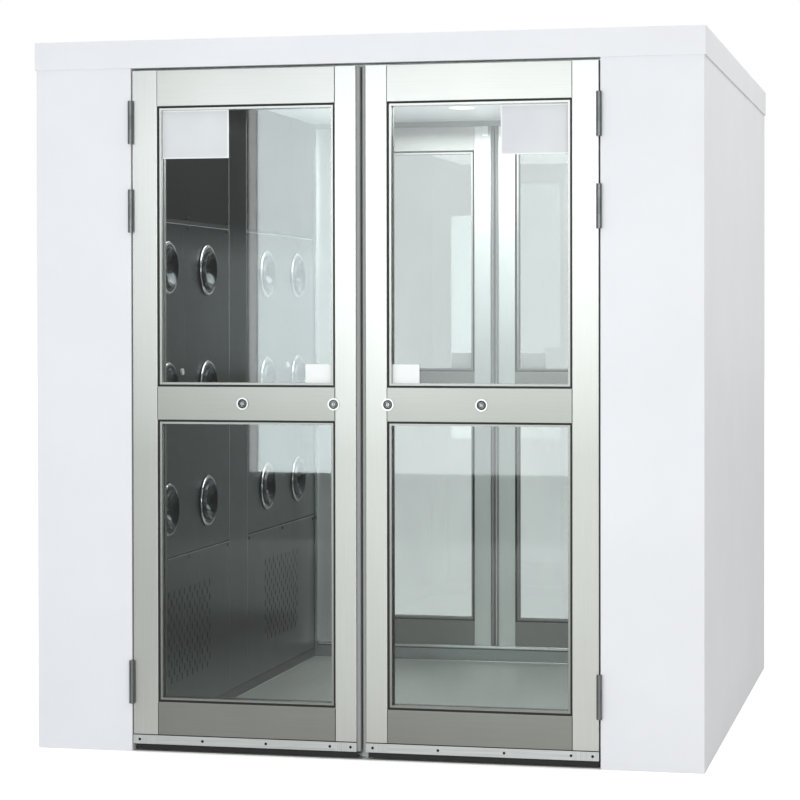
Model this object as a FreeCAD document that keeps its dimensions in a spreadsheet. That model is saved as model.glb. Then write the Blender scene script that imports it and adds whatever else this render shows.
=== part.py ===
"""Cargo air shower: a walk-through cleanroom cabin between two plenum casings, with glazed two-leaf doors.

Millimetres, +Z up. The origin is on the floor under the middle of the cabin. The photographed front looks along -Y,
the side walls are at -X (left) and +X (right).
"""
import FreeCAD, Part
import math
import os

import Sketcher
from FreeCAD import Placement, Rotation, Vector

doc = FreeCAD.newDocument("CargoAirShower")

# Driving dimensions in millimetres, one row of the sheet each
SIZES = {
    # Cabin
    "passage_width": 1400,
    "casing_width": 296,
    "body_depth": 1992,
    "casing_height": 2018,
    "cap_height": 82,
    "cap_overhang": 4,
    "cap_flange": 60,
    "sheet_gauge": 1.5,
    "casing_corner": 3,
    # Door leaves
    "jamb_gap": 4,
    "leaf_thickness": 48,
    "leaf_foot": 24,
    "leaf_head_gap": 8,
    "hinge_stile": 77,
    "meeting_stile": 64,
    "meeting_gap": 14,
    "bottom_rail": 125,
    "middle_rail": 98,
    "top_rail": 105,
    "leaf_wall": 2,
    "leaf_edge": 2,
    "glass": 8,
    "gasket": 6,
    "gasket_recess": 7,
    "bead": 6,
    "bead_recess": 5,
    "bulb_radius": 5.5,
    "bulb_inset": 12,
    "strip_height": 26,
    "strip_gauge": 2.5,
    "sweep_gauge": 8,
    "sweep_clearance": 2,
    # Hinges
    "hinge_length": 127,
    "barrel_radius": 8,
    "hinge_pin_radius": 4,
    "hinge_plate": 1.8,
    "hinge_plate_depth": 36,
    "pin_clearance": 0.05,
    "running_gap": 0.3,
    "low_hinge_rise": 183,
    "upper_hinge_drop": 413,
    "top_hinge_drop": 152,
    # Key cylinders
    "lock_height": 1031,
    "edge_lock": 81,
    "rail_lock": 357,
    "rosette_radius": 17.5,
    "rosette_height": 4,
    "rosette_groove_outer": 14,
    "rosette_groove_inner": 10,
    "rosette_groove_depth": 3,
    "lock_body_radius": 12.5,
    "lock_body_depth": 20,
    "plug_radius": 8,
    "plug_proud": 1.5,
    "key_width": 2.4,
    "key_height": 7,
    "key_depth": 8,
    # Door stops, sills and electromagnets
    "stop_width": 18,
    "stop_depth": 20,
    "stop_gap": 0.5,
    "header_height": 26,
    "sill": 3,
    "threshold_height": 60,
    "toe_height": 18,
    "toe_depth": 8,
    "magnet_radius": 11,
    "magnet_length": 18,
    "magnet_side": 31,
    "magnet_drop": 25,
    "armature": 2,
    # Inner walls
    "panel_gauge": 2,
    "panel_depth": 8,
    "panel_end_gap": 2,
    "post_width": 196,
    "post_gap": 2,
    "kerb_width": 10,
    "kerb_height": 36,
    "floor_gauge": 4,
    "return_seam": 540,
    "upper_panel_height": 430,
    "seam_gap": 4,
    "window_margin": 30,
    # Ceiling and lamps
    "ceiling_drop": 6,
    "ceiling_gauge": 2,
    "lamp_radius": 42.5,
    "lamp_body_radius": 38,
    "lamp_rim": 3,
    "lamp_depth": 40,
    "lamp_inset": 547.5,
    # Nozzles
    "nozzle_spacing": 376,
    "nozzle_low_rise": 150,
    "nozzle_top_drop": 146,
    "ring_radius": 83,
    "ring_barrel_radius": 74,
    "ring_proud": 8,
    "ring_flange": 3,
    "ring_depth": 24,
    "ball_radius": 66,
    "ball_seat_gap": 0.3,
    "ball_centre_depth": 10,
    "ball_mouth": 26,
    "ball_lip": 4,
    "ball_back": 40,
    "ball_wall": 2.5,
    "jet_radius": 19,
    "jet_wall": 3,
    "jet_start": 14,
    "jet_tail": 64,
    # Return-air slots
    "slot_columns": 17,
    "slot_rows": 6,
    "slot_column_pitch": 24.5,
    "slot_row_pitch": 48,
    "slot_width": 9,
    "slot_length": 24,
    "slot_shift": 12,
    "slot_low": 159,
    # Presence sensors
    "sensor_shift": 62,
    "sensor_rise": 50,
    "sensor_radius": 10,
    "sensor_proud": 6,
    # Filters and partitions
    "deck_drop": 22,
    "filter_height": 120,
    "filter_wall": 12,
    "filter_side_gap": 8,
    "filter_pack_inset": 6,
    "pleat_pitch": 32,
    "pleat_share": 0.2,
    "air_box_height": 50,
    "duct_width": 52,
    "prefilter_depth": 22,
    "prefilter_margin": 60,
    # Blower
    "fan_side": 32,
    "scroll_width": 130,
    "scroll_sheet": 2,
    "scroll_right": 125,
    "scroll_top": 134,
    "scroll_left": 148,
    "scroll_drop": 135,
    "scroll_throat": 40,
    "inlet_radius": 84,
    "impeller_radius": 112,
    "impeller_eye": 88,
    "impeller_width": 100,
    "impeller_sheet": 3,
    "blades": 32,
    "blade_gauge": 1.6,
    "blade_arc_radius": 20,
    "hub_radius": 24,
    "hub_length": 30,
    "shaft_radius": 9,
    "motor_radius": 70,
    "motor_length": 106,
    "motor_bearing_depth": 60,
    # Control box
    "control_length": 420,
    "control_width": 300,
    "control_height": 70,
}

sheet = doc.addObject("Spreadsheet::Sheet", "Sizes")
for row, (word, amount) in enumerate(SIZES.items(), start=1):
    sheet.set(f"A{row}", word)
    sheet.set(f"B{row}", str(amount))
    sheet.setAlias(f"B{row}", word)
doc.recompute()


class Dim:
    """A length that keeps its number beside the sheet formula that gives it."""

    def __init__(self, amount, formula):
        self.amount = float(amount)
        self.formula = formula

    def __add__(self, other):
        return Dim(self.amount + number(other), f"({self.formula} + {text(other)})")

    def __radd__(self, other):
        return Dim(number(other) + self.amount, f"({text(other)} + {self.formula})")

    def __sub__(self, other):
        return Dim(self.amount - number(other), f"({self.formula} - {text(other)})")

    def __rsub__(self, other):
        return Dim(number(other) - self.amount, f"({text(other)} - {self.formula})")

    def __mul__(self, other):
        return Dim(self.amount * number(other), f"({self.formula} * {text(other)})")

    __rmul__ = __mul__

    def __truediv__(self, other):
        return Dim(self.amount / number(other), f"({self.formula} / {text(other)})")

    def __neg__(self):
        return Dim(-self.amount, f"(0 - {self.formula})")


def number(dim):
    return dim.amount if isinstance(dim, Dim) else float(dim)


def text(dim):
    return dim.formula if isinstance(dim, Dim) else f"({float(dim)})"


def root_of(square):
    return Dim(math.sqrt(square.amount), f"sqrt({square.formula})")


class Sheet:
    """The sheet's cells as Dim values, one attribute for each alias."""


s = Sheet()
for word, amount in SIZES.items():
    setattr(s, word, Dim(amount, "Sizes." + word))

# Lines that many pieces share
half_passage = s.passage_width / 2
body_half = s.body_depth / 2
casing_out = half_passage + s.casing_width
cap_top = s.casing_height + s.cap_height
wall_face = half_passage - s.panel_depth
leaf_back = body_half - s.leaf_thickness
leaf_head = s.casing_height - s.leaf_head_gap
stop_face = leaf_back - s.stop_gap
stop_back = stop_face - s.stop_depth
hinge_edge = half_passage - s.jamb_gap
module_low = s.post_width / 2 + s.post_gap
module_high = stop_back - s.panel_end_gap
module_centre = (module_low + module_high) / 2
panel_foot = s.kerb_height + s.post_gap
ceiling_height = s.casing_height - s.ceiling_drop
nozzle_seam = ceiling_height - s.upper_panel_height
nozzle_low = s.return_seam + s.nozzle_low_rise
nozzle_top = nozzle_seam - s.nozzle_top_drop
nozzle_middle = (nozzle_low + nozzle_top) / 2
deck_height = nozzle_seam - s.deck_drop
rail_low = s.lock_height - s.middle_rail / 2
header_foot = s.casing_height - s.header_height
magnet_height = header_foot - s.magnet_drop

SIDES = {"left": -1, "right": 1}
ENDS = {"front": -1, "rear": 1}
NODES = []
TURN = {"x": Rotation(Vector(0, 1, 0), 90), "y": Rotation(Vector(1, 0, 0), -90), "z": Rotation()}


def put(part, x, y, z, rotation=Rotation()):
    """Turns a part and ties the three numbers of its place to the sheet."""
    part.Placement = Placement(Vector(number(x), number(y), number(z)), rotation)
    for axis, dim in (("x", x), ("y", y), ("z", z)):
        if isinstance(dim, Dim):
            part.setExpression(f".Placement.Base.{axis}", dim.formula)
    return part


def box(name, x, y, z):
    """A box whose x, y and z are pairs of limits in either order."""
    part = doc.addObject("Part::Box", name)
    base = []
    for prop, (low, high) in (("Length", x), ("Width", y), ("Height", z)):
        if number(low) > number(high):
            low, high = high, low
        part.setExpression(prop, text(high - low))
        base.append(low)
    return put(part, *base)


def rod(name, axis, radius, span, first, second):
    """A round bar along an axis; first and second are its other two coordinates in X, Y, Z order."""
    low, high = span
    if number(low) > number(high):
        low, high = high, low
    part = doc.addObject("Part::Cylinder", name)
    part.setExpression("Radius", text(radius))
    part.setExpression("Height", text(high - low))
    places = {"x": (low, first, second), "y": (first, low, second), "z": (first, second, low)}
    return put(part, *places[axis], TURN[axis])


def fuse(name, *parts):
    part = doc.addObject("Part::MultiFuse", name)
    part.Shapes = list(parts)
    return part


def cut(name, base, *tools):
    part = doc.addObject("Part::Cut", name)
    part.Base = base
    part.Tool = tools[0] if len(tools) == 1 else fuse(name + "_tools", *tools)
    return part


def rounded(name, part, radius, along):
    """Rounds a box's four edges that run along one axis."""
    part.recompute()
    edges = []
    for index, edge in enumerate(part.Shape.Edges, start=1):
        run = edge.Vertexes[1].Point - edge.Vertexes[0].Point
        if abs(getattr(run, along)) > 0.99 * run.Length:
            edges.append((index, number(radius), number(radius)))
    smooth = doc.addObject("Part::Fillet", name)
    smooth.Base = part
    smooth.Edges = edges
    return smooth


def node(name, *parts):
    """Names the finished piece, or the group of like pieces, that one file holds."""
    if len(parts) == 1:
        part = parts[0]
    else:
        part = doc.addObject("Part::Compound", "group_" + name)
        part.Links = list(parts)
    part.Label = name
    NODES.append(part)
    return part


def outline(sketch, corners):
    """Draws a closed outline and ties every corner to the sheet.

    A corner is (x, y) or (x, y, radius), where the radius is that of the arc from this corner to the next:
    positive where the arc turns left, negative where it turns right.
    """
    count = len(corners)
    ends = []
    for index, corner in enumerate(corners):
        following = corners[(index + 1) % count]
        start = Vector(number(corner[0]), number(corner[1]), 0)
        stop = Vector(number(following[0]), number(following[1]), 0)
        if len(corner) == 2:
            line = sketch.addGeometry(Part.LineSegment(start, stop), False)
            ends.append((line, 1, 2))
            continue
        radius = abs(number(corner[2]))
        turn = 1 if number(corner[2]) > 0 else -1
        chord = stop - start
        rise = radius - math.sqrt(radius ** 2 - chord.Length ** 2 / 4)
        aside = Vector(chord.y, -chord.x, 0).normalize()
        middle = (start + stop) / 2 + aside * rise * turn
        if turn > 0:
            arc = sketch.addGeometry(Part.Arc(start, middle, stop), False)
            ends.append((arc, 1, 2))
        else:
            arc = sketch.addGeometry(Part.Arc(stop, middle, start), False)
            ends.append((arc, 2, 1))
    for index, corner in enumerate(corners):
        piece, first, last = ends[index]
        following = ends[(index + 1) % count]
        sketch.addConstraint(Sketcher.Constraint("Coincident", piece, last, following[0], following[1]))
        for kind, axis, dim in (("DistanceX", -2, corner[0]), ("DistanceY", -1, corner[1])):
            if abs(number(dim)) < 1e-9:
                sketch.addConstraint(Sketcher.Constraint("PointOnObject", piece, first, axis))
                continue
            rule = sketch.addConstraint(Sketcher.Constraint(kind, -1, 1, piece, first, number(dim)))
            sketch.setExpression(f"Constraints[{rule}]", text(dim))
        if len(corner) == 3:
            rule = sketch.addConstraint(Sketcher.Constraint("Radius", piece, abs(number(corner[2]))))
            arc_radius = corner[2] if number(corner[2]) > 0 else -corner[2]
            sketch.setExpression(f"Constraints[{rule}]", text(arc_radius))
    return sketch


def circles(sketch, *radii):
    """Draws circles about the sketch's origin, each radius tied to the sheet."""
    for radius in radii:
        ring = sketch.addGeometry(Part.Circle(Vector(), Vector(0, 0, 1), number(radius)), False)
        sketch.addConstraint(Sketcher.Constraint("Coincident", ring, 3, -1, 1))
        rule = sketch.addConstraint(Sketcher.Constraint("Radius", ring, number(radius)))
        sketch.setExpression(f"Constraints[{rule}]", text(radius))
    return sketch


def origin_of(body, role):
    return next(item for item in body.Origin.OriginFeatures if item.Role == role)


def body_sketch(body, name, plane="XY_Plane", offset=None):
    sketch = body.newObject("Sketcher::SketchObject", name)
    sketch.AttachmentSupport = [(origin_of(body, plane), "")]
    sketch.MapMode = "FlatFace"
    if offset is not None:
        sketch.setExpression(".AttachmentOffset.Base.z", text(offset))
    return sketch


def turned(name, corners):
    """A body of revolution about its own X axis."""
    body = doc.addObject("PartDesign::Body", name)
    profile = outline(body_sketch(body, name + "_profile"), corners)
    solid = body.newObject("PartDesign::Revolution", name + "_turned")
    solid.Profile = profile
    solid.ReferenceAxis = (profile, ["H_Axis"])
    solid.Angle = 360
    profile.Visibility = False
    return body


def pad(body, name, sketch, length):
    solid = body.newObject("PartDesign::Pad", name)
    solid.Profile = sketch
    solid.setExpression("Length", text(length))
    return solid


def casing(side):
    """A sheet cabinet, open to the cabin through three windows a module, with its partitions welded in."""
    sx = SIDES[side]
    name = side + "_casing"
    g = s.sheet_gauge
    shell = rounded(
        name + "_block",
        box(
            name + "_outer",
            (sx * half_passage, sx * casing_out),
            (-body_half, body_half),
            (0, s.casing_height),
        ),
        s.casing_corner,
        "z",
    )
    hollow = box(
        name + "_hollow",
        (sx * (half_passage + g), sx * (casing_out - g)),
        (g - body_half, body_half - g),
        (g, s.casing_height - g),
    )
    windows = []
    levels = {
        "return": (panel_foot, s.return_seam),
        "nozzle": (s.return_seam, nozzle_seam),
        "fan": (nozzle_seam, ceiling_height),
    }
    for end, sy in ENDS.items():
        for level, (low, high) in levels.items():
            windows.append(
                box(
                    f"{name}_{end}_{level}_window",
                    (sx * wall_face, sx * (half_passage + 2 * g)),
                    (sy * (module_low + s.window_margin), sy * (module_high - s.window_margin)),
                    (low + s.window_margin, high - s.window_margin),
                )
            )
    shell = cut(name + "_shell", shell, hollow, *windows)
    near = sx * (half_passage + g)
    duct = sx * (casing_out - g - s.duct_width)
    deck = box(name + "_deck", (near, duct), (g - body_half, body_half - g), (deck_height - g, deck_height))
    deck_holes = [
        box(
            f"{name}_{end}_deck_hole",
            (near + sx * s.window_margin, duct - sx * s.window_margin),
            (sy * (module_low + s.window_margin), sy * (module_high - s.window_margin)),
            (deck_height - 2 * g, deck_height + g),
        )
        for end, sy in ENDS.items()
    ]
    deck = cut(name + "_filter_deck", deck, *deck_holes)
    duct_wall = box(
        name + "_duct_wall",
        (duct, duct - sx * g),
        (g - body_half, body_half - g),
        (s.return_seam, deck_height - g),
    )
    plenum_floor = box(
        name + "_plenum_floor",
        (near, duct),
        (g - body_half, body_half - g),
        (s.return_seam - g, s.return_seam),
    )
    node(name, shell, deck, duct_wall, plenum_floor)


def roof_cap():
    """A pan turned upside down, with a flange that rests on the casings."""
    g = s.sheet_gauge
    out_x = casing_out + s.cap_overhang
    out_y = body_half + s.cap_overhang
    low = s.casing_height
    outer = rounded(
        "cap_block", box("cap_outer", (-out_x, out_x), (-out_y, out_y), (low, cap_top)), s.casing_corner, "z"
    )
    hollow = box("cap_hollow", (g - out_x, out_x - g), (g - out_y, out_y - g), (low + g, cap_top - g))
    mouth_x = out_x - s.cap_flange
    mouth_y = out_y - s.cap_flange
    mouth = box("cap_mouth", (-mouth_x, mouth_x), (-mouth_y, mouth_y), (low - g, low + 2 * g))
    node("roof_cap", cut("cap_shell", outer, hollow, mouth))


def floor():
    """The floor plate, the channel kerbs along the side walls and the sills under the doors."""
    g = s.sheet_gauge
    inner = half_passage - s.kerb_width
    parts = [box("floor_plate", (-inner, inner), (-stop_back, stop_back), (0, s.floor_gauge))]
    for side, sx in SIDES.items():
        width = (sx * inner, sx * half_passage)
        kerb = box(side + "_kerb_block", width, (-stop_back, stop_back), (0, s.kerb_height))
        under = box(
            side + "_kerb_hollow",
            (sx * (inner + g), sx * (half_passage - g)),
            (-stop_back - g, stop_back + g),
            (-g, s.kerb_height - g),
        )
        parts.append(cut(side + "_kerb", kerb, under))
    for end, sy in ENDS.items():
        depth = (sy * stop_back, sy * body_half)
        parts.append(box(end + "_sill", (-half_passage, half_passage), depth, (0, s.sill)))
    node("floor_tray", *parts)


def door_stops():
    """Stops on both jambs, a header over each opening and a threshold bar with a toe recess at its foot."""
    parts = []
    for end, sy in ENDS.items():
        depth = (sy * stop_back, sy * stop_face)
        for side, sx in SIDES.items():
            inner = half_passage - s.stop_width
            name = f"{end}_{side}_stop"
            parts.append(box(name, (sx * inner, sx * half_passage), depth, (s.sill, s.casing_height)))
        clear = half_passage - s.stop_width
        parts.append(box(end + "_header", (-clear, clear), depth, (header_foot, s.casing_height)))
        bar = box(end + "_threshold_bar", (-clear, clear), depth, (s.sill, s.threshold_height))
        toe = box(
            end + "_threshold_toe",
            (-clear, clear),
            (sy * (stop_back - s.toe_depth), sy * (stop_back + s.toe_depth)),
            (s.sill - 1, s.toe_height),
        )
        parts.append(cut(end + "_threshold", bar, toe))
    node("door_stops", *parts)


def magnets():
    """A round electromagnet behind the head of one leaf of each door, on a plate under the header."""
    parts = []
    for end, sy in ENDS.items():
        face = leaf_back - s.armature - s.running_gap
        back = face - s.magnet_length
        centre = -s.magnet_side
        coil = rod(end + "_magnet_coil", "y", s.magnet_radius, (sy * back, sy * face), centre, magnet_height)
        low = magnet_height - s.magnet_radius
        high = header_foot
        plate = box(
            end + "_magnet_plate",
            (centre - s.magnet_radius, centre + s.magnet_radius),
            (sy * (back - s.panel_gauge), sy * back),
            (low, high),
        )
        foot = box(
            end + "_magnet_foot",
            (centre - s.magnet_radius, centre + s.magnet_radius),
            (sy * (back - s.panel_gauge), sy * face),
            (high - s.panel_gauge, high),
        )
        parts.append(fuse(end + "_magnet", coil, plate, foot))
    node("door_magnets", *parts)


def ceiling():
    plate = box(
        "ceiling_plate",
        (-half_passage, half_passage),
        (-stop_back, stop_back),
        (ceiling_height, ceiling_height + s.ceiling_gauge),
    )
    holes = []
    lamps = []
    for end, sy in ENDS.items():
        y = sy * (stop_back - s.lamp_inset)
        low = ceiling_height
        holes.append(
            rod(
                end + "_lamp_hole",
                "z",
                s.lamp_body_radius + s.running_gap,
                (low - 1, low + 2 * s.ceiling_gauge),
                0,
                y,
            )
        )
        rim = rod(end + "_lamp_rim", "z", s.lamp_radius, (low - s.lamp_rim, low), 0, y)
        can = rod(end + "_lamp_can", "z", s.lamp_body_radius, (low - s.lamp_rim, low + s.lamp_depth), 0, y)
        lamps.append(fuse(end + "_lamp", rim, can))
    node("ceiling_panel", cut("ceiling", plate, *holes))
    node("downlights", *lamps)


def nozzle_places():
    """Column name, row name, Y and Z of every nozzle on one wall."""
    inner = module_centre - s.nozzle_spacing / 2
    outer = module_centre + s.nozzle_spacing / 2
    columns = (-outer, -inner, inner, outer)
    rows = (nozzle_low, nozzle_middle, nozzle_top)
    for column, y in enumerate(columns, start=1):
        for row, z in enumerate(rows, start=1):
            yield f"c{column}_r{row}", y, z


def pan(name, sx, y, z):
    """A shallow folded pan on the side wall, open at its back."""
    g = s.panel_gauge
    outer = box(name + "_block", (sx * wall_face, sx * half_passage), y, z)
    turn = 1 if number(y[0]) < number(y[1]) else -1
    hollow = box(
        name + "_hollow",
        (sx * (wall_face + g), sx * (half_passage + g)),
        (y[0] + turn * g, y[1] - turn * g),
        (z[0] + g, z[1] - g),
    )
    return cut(name, outer, hollow)


def wall_panels(side):
    """Upper panels, nozzle panels with their round holes, and the cover post between the modules."""
    sx = SIDES[side]
    gap = s.seam_gap / 2
    parts = []
    for end, sy in ENDS.items():
        run = (sy * module_low, sy * module_high)
        name = f"{side}_{end}"
        parts.append(pan(name + "_upper_panel", sx, run, (nozzle_seam + gap, ceiling_height)))
        plate = pan(name + "_nozzle_plate", sx, run, (s.return_seam + gap, nozzle_seam - gap))
        holes = [
            rod(
                f"{name}_hole_{label}",
                "x",
                s.ring_barrel_radius + s.running_gap,
                (sx * (wall_face - 1), sx * (half_passage + 1)),
                y,
                z,
            )
            for label, y, z in nozzle_places()
            if number(y) * sy > 0
        ]
        parts.append(cut(name + "_nozzle_panel", plate, *holes))
    post = s.post_width / 2
    parts.append(pan(side + "_post", sx, (-post, post), (panel_foot, ceiling_height)))
    node(side + "_wall_panels", *parts)


def slot_field(sx, sy):
    """The long round slots of one return panel as one cutting shape, staggered by half a row."""
    width = number(s.slot_width)
    reach = (number(s.slot_length) - width) / 2
    columns = int(number(s.slot_columns))
    rows = int(number(s.slot_rows))
    pitch = number(s.slot_column_pitch)
    rise = number(s.slot_row_pitch)
    depth = number(s.panel_gauge) + 2
    x = number(wall_face) - 1
    if sx < 0:
        x = -(x + depth)
    slots = []
    middle = number(module_centre - s.slot_shift)
    for column in range(columns):
        y = sy * (middle + (column - (columns - 1) / 2) * pitch)
        for row in range(rows):
            z = number(s.slot_low) + row * rise + (column + 1) % 2 * rise / 2
            radius = width / 2
            corners = [Vector(x, y - radius, z - reach), Vector(x, y + radius, z - reach)]
            corners += [Vector(x, y + radius, z + reach), Vector(x, y - radius, z + reach)]
            foot = Part.Arc(corners[0], Vector(x, y, z - reach - radius), corners[1])
            head = Part.Arc(corners[2], Vector(x, y, z + reach + radius), corners[3])
            sides = [Part.LineSegment(corners[1], corners[2]), Part.LineSegment(corners[3], corners[0])]
            wire = Part.Wire([foot.toShape(), sides[0].toShape(), head.toShape(), sides[1].toShape()])
            slots.append(Part.Face(wire).extrude(Vector(depth, 0, 0)))
    return Part.makeCompound(slots)


def return_grilles():
    parts = []
    for side, sx in SIDES.items():
        for end, sy in ENDS.items():
            name = f"{side}_{end}_return"
            plate = pan(
                name + "_plate",
                sx,
                (sy * module_low, sy * module_high),
                (panel_foot, s.return_seam - s.seam_gap / 2),
            )
            slots = doc.addObject("Part::Feature", name + "_slots")
            slots.Shape = slot_field(sx, sy)
            parts.append(cut(name + "_grille", plate, slots))
    node("return_grilles", *parts)


def nozzle_ring(name):
    """The fixed seat: a flange with a rounded lip on the panel, and a barrel that holds the ball both ways."""
    seat = s.ball_radius + s.ball_seat_gap
    front = s.ball_centre_depth + s.ring_proud
    back = s.ring_depth - s.ball_centre_depth
    front_bore = root_of(seat * seat - front * front)
    back_bore = root_of(seat * seat - back * back)
    lip = s.ring_proud - s.ring_flange
    return turned(
        name,
        [
            (-back, back_bore, -seat),
            (front, front_bore),
            (front, s.ring_radius - lip, -lip),
            (front - lip, s.ring_radius),
            (s.ball_centre_depth, s.ring_radius),
            (s.ball_centre_depth, s.ring_barrel_radius),
            (-back, s.ring_barrel_radius),
        ],
    )


def nozzle_ball(name):
    """The swivelling ball: a spun shell whose mouth turns inwards to a funnel that ends in a jet tube."""
    ball = s.ball_radius
    wall = s.ball_wall
    inner = ball - wall
    funnel = ball - s.ball_lip
    mouth = root_of(ball * ball - s.ball_mouth * s.ball_mouth)
    back = root_of(ball * ball - s.ball_back * s.ball_back)
    fold = s.ball_mouth - wall
    fold_radius = root_of(inner * inner - fold * fold)
    inner_back = root_of(inner * inner - s.ball_back * s.ball_back)
    tail = s.jet_radius + s.jet_wall
    return turned(
        name,
        [
            (-s.ball_back, back, -ball),
            (s.ball_mouth, mouth),
            (s.ball_mouth, mouth - s.ball_lip, -funnel),
            (-s.jet_start, s.jet_radius),
            (-s.jet_tail, s.jet_radius),
            (-s.jet_tail, tail),
            (-s.jet_start - wall, tail, funnel),
            (fold, fold_radius, inner),
            (-s.ball_back, inner_back),
        ],
    )


def nozzles():
    rings = []
    for side, sx in SIDES.items():
        inward = Rotation(Vector(0, 0, 1), 0 if sx < 0 else 180)
        for label, y, z in nozzle_places():
            x = sx * (wall_face + s.ball_centre_depth)
            rings.append(put(nozzle_ring(f"{side}_ring_{label}"), x, y, z, inward))
            ball_name = f"{side}_nozzle_{label}"
            ball = nozzle_ball(ball_name)
            node(ball_name, put(ball, x, y, z, inward))
    node("nozzle_rings", *rings)


def sensors():
    parts = []
    for side, sx in SIDES.items():
        for end, sy in ENDS.items():
            name = f"{side}_{end}_sensor"
            span = (sx * (wall_face - s.sensor_proud), sx * wall_face)
            place = sy * (module_centre + s.sensor_shift)
            parts.append(rod(name, "x", s.sensor_radius, span, place, nozzle_middle + s.sensor_rise))
    node("presence_sensors", *parts)


def hinge_halves(end, side, label, height):
    """The jamb half, the pin and the leaf half of one barrel hinge."""
    sy = ENDS[end]
    sx = SIDES[side]
    name = f"{end}_{side}_{label}_hinge"
    axis_x = sx * (half_passage - s.jamb_gap / 2)
    axis_y = sy * (body_half + s.barrel_radius)
    low = height - s.hinge_length / 2
    high = height + s.hinge_length / 2
    knuckle = s.hinge_length / 3
    clear = s.running_gap
    spans = {"low": (low, low + knuckle - clear), "high": (high - knuckle + clear, high)}
    middle = (low + knuckle, high - knuckle)
    plate_y = (sy * (body_half - s.hinge_plate_depth), sy * (body_half - clear))
    tongue_y = (sy * (body_half - clear), axis_y)
    jamb_x = (sx * half_passage, sx * (half_passage - s.hinge_plate))
    leaf_x = (sx * hinge_edge, sx * (hinge_edge + s.hinge_plate))
    fixed = [box(name + "_jamb_plate", jamb_x, plate_y, (low, high))]
    for word, span in spans.items():
        fixed.append(box(f"{name}_{word}_tongue", jamb_x, tongue_y, span))
        fixed.append(rod(f"{name}_{word}_knuckle", "z", s.barrel_radius, span, axis_x, axis_y))
    bore = rod(name + "_jamb_bore", "z", s.hinge_pin_radius, (low - 1, high + 1), axis_x, axis_y)
    jamb_half = cut(name + "_jamb_half", fuse(name + "_jamb_solid", *fixed), bore)
    pin = rod(name + "_pin", "z", s.hinge_pin_radius, (low, high), axis_x, axis_y)
    moving = fuse(
        name + "_leaf_solid",
        box(name + "_leaf_plate", leaf_x, plate_y, (low, high)),
        box(name + "_leaf_tongue", leaf_x, tongue_y, middle),
        rod(name + "_leaf_knuckle", "z", s.barrel_radius, middle, axis_x, axis_y),
    )
    leaf_bore = rod(
        name + "_leaf_bore", "z", s.hinge_pin_radius + s.pin_clearance, (low - 1, high + 1), axis_x, axis_y
    )
    return [jamb_half, pin], cut(name + "_leaf_half", moving, leaf_bore)


def tube(name, x, y, z, along, edge):
    """A closed box section with rounded long edges."""
    wall = s.leaf_wall

    def inset(pair):
        step = wall if number(pair[0]) < number(pair[1]) else -wall
        return pair[0] + step, pair[1] - step

    solid = rounded(name + "_block", box(name + "_outer", x, y, z), edge, along)
    return cut(name, solid, box(name + "_hollow", inset(x), inset(y), inset(z)))


def frame_ring(name, x, y, z, width):
    """A rectangular ring, as wide all round as width, between two y planes."""
    low_x, high_x = x
    step = width if number(low_x) < number(high_x) else -width
    outer = box(name + "_outer", x, y, z)
    margin = 1 if number(y[0]) < number(y[1]) else -1
    inner = box(
        name + "_inner",
        (low_x + step, high_x - step),
        (y[0] - margin, y[1] + margin),
        (z[0] + width, z[1] - width),
    )
    return cut(name, outer, inner)


def bars(name, x, y, z, width):
    """Four square-cut bars round a pane: foot and head at full width, the uprights between them."""
    low_x, high_x = x
    step = width if number(low_x) < number(high_x) else -width
    low_z, high_z = z
    between = (low_z + width, high_z - width)
    return [
        box(name + "_foot", x, y, (low_z, low_z + width)),
        box(name + "_head", x, y, (high_z - width, high_z)),
        box(name + "_first", (low_x, low_x + step), y, between),
        box(name + "_second", (high_x - step, high_x), y, between),
    ]


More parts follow.
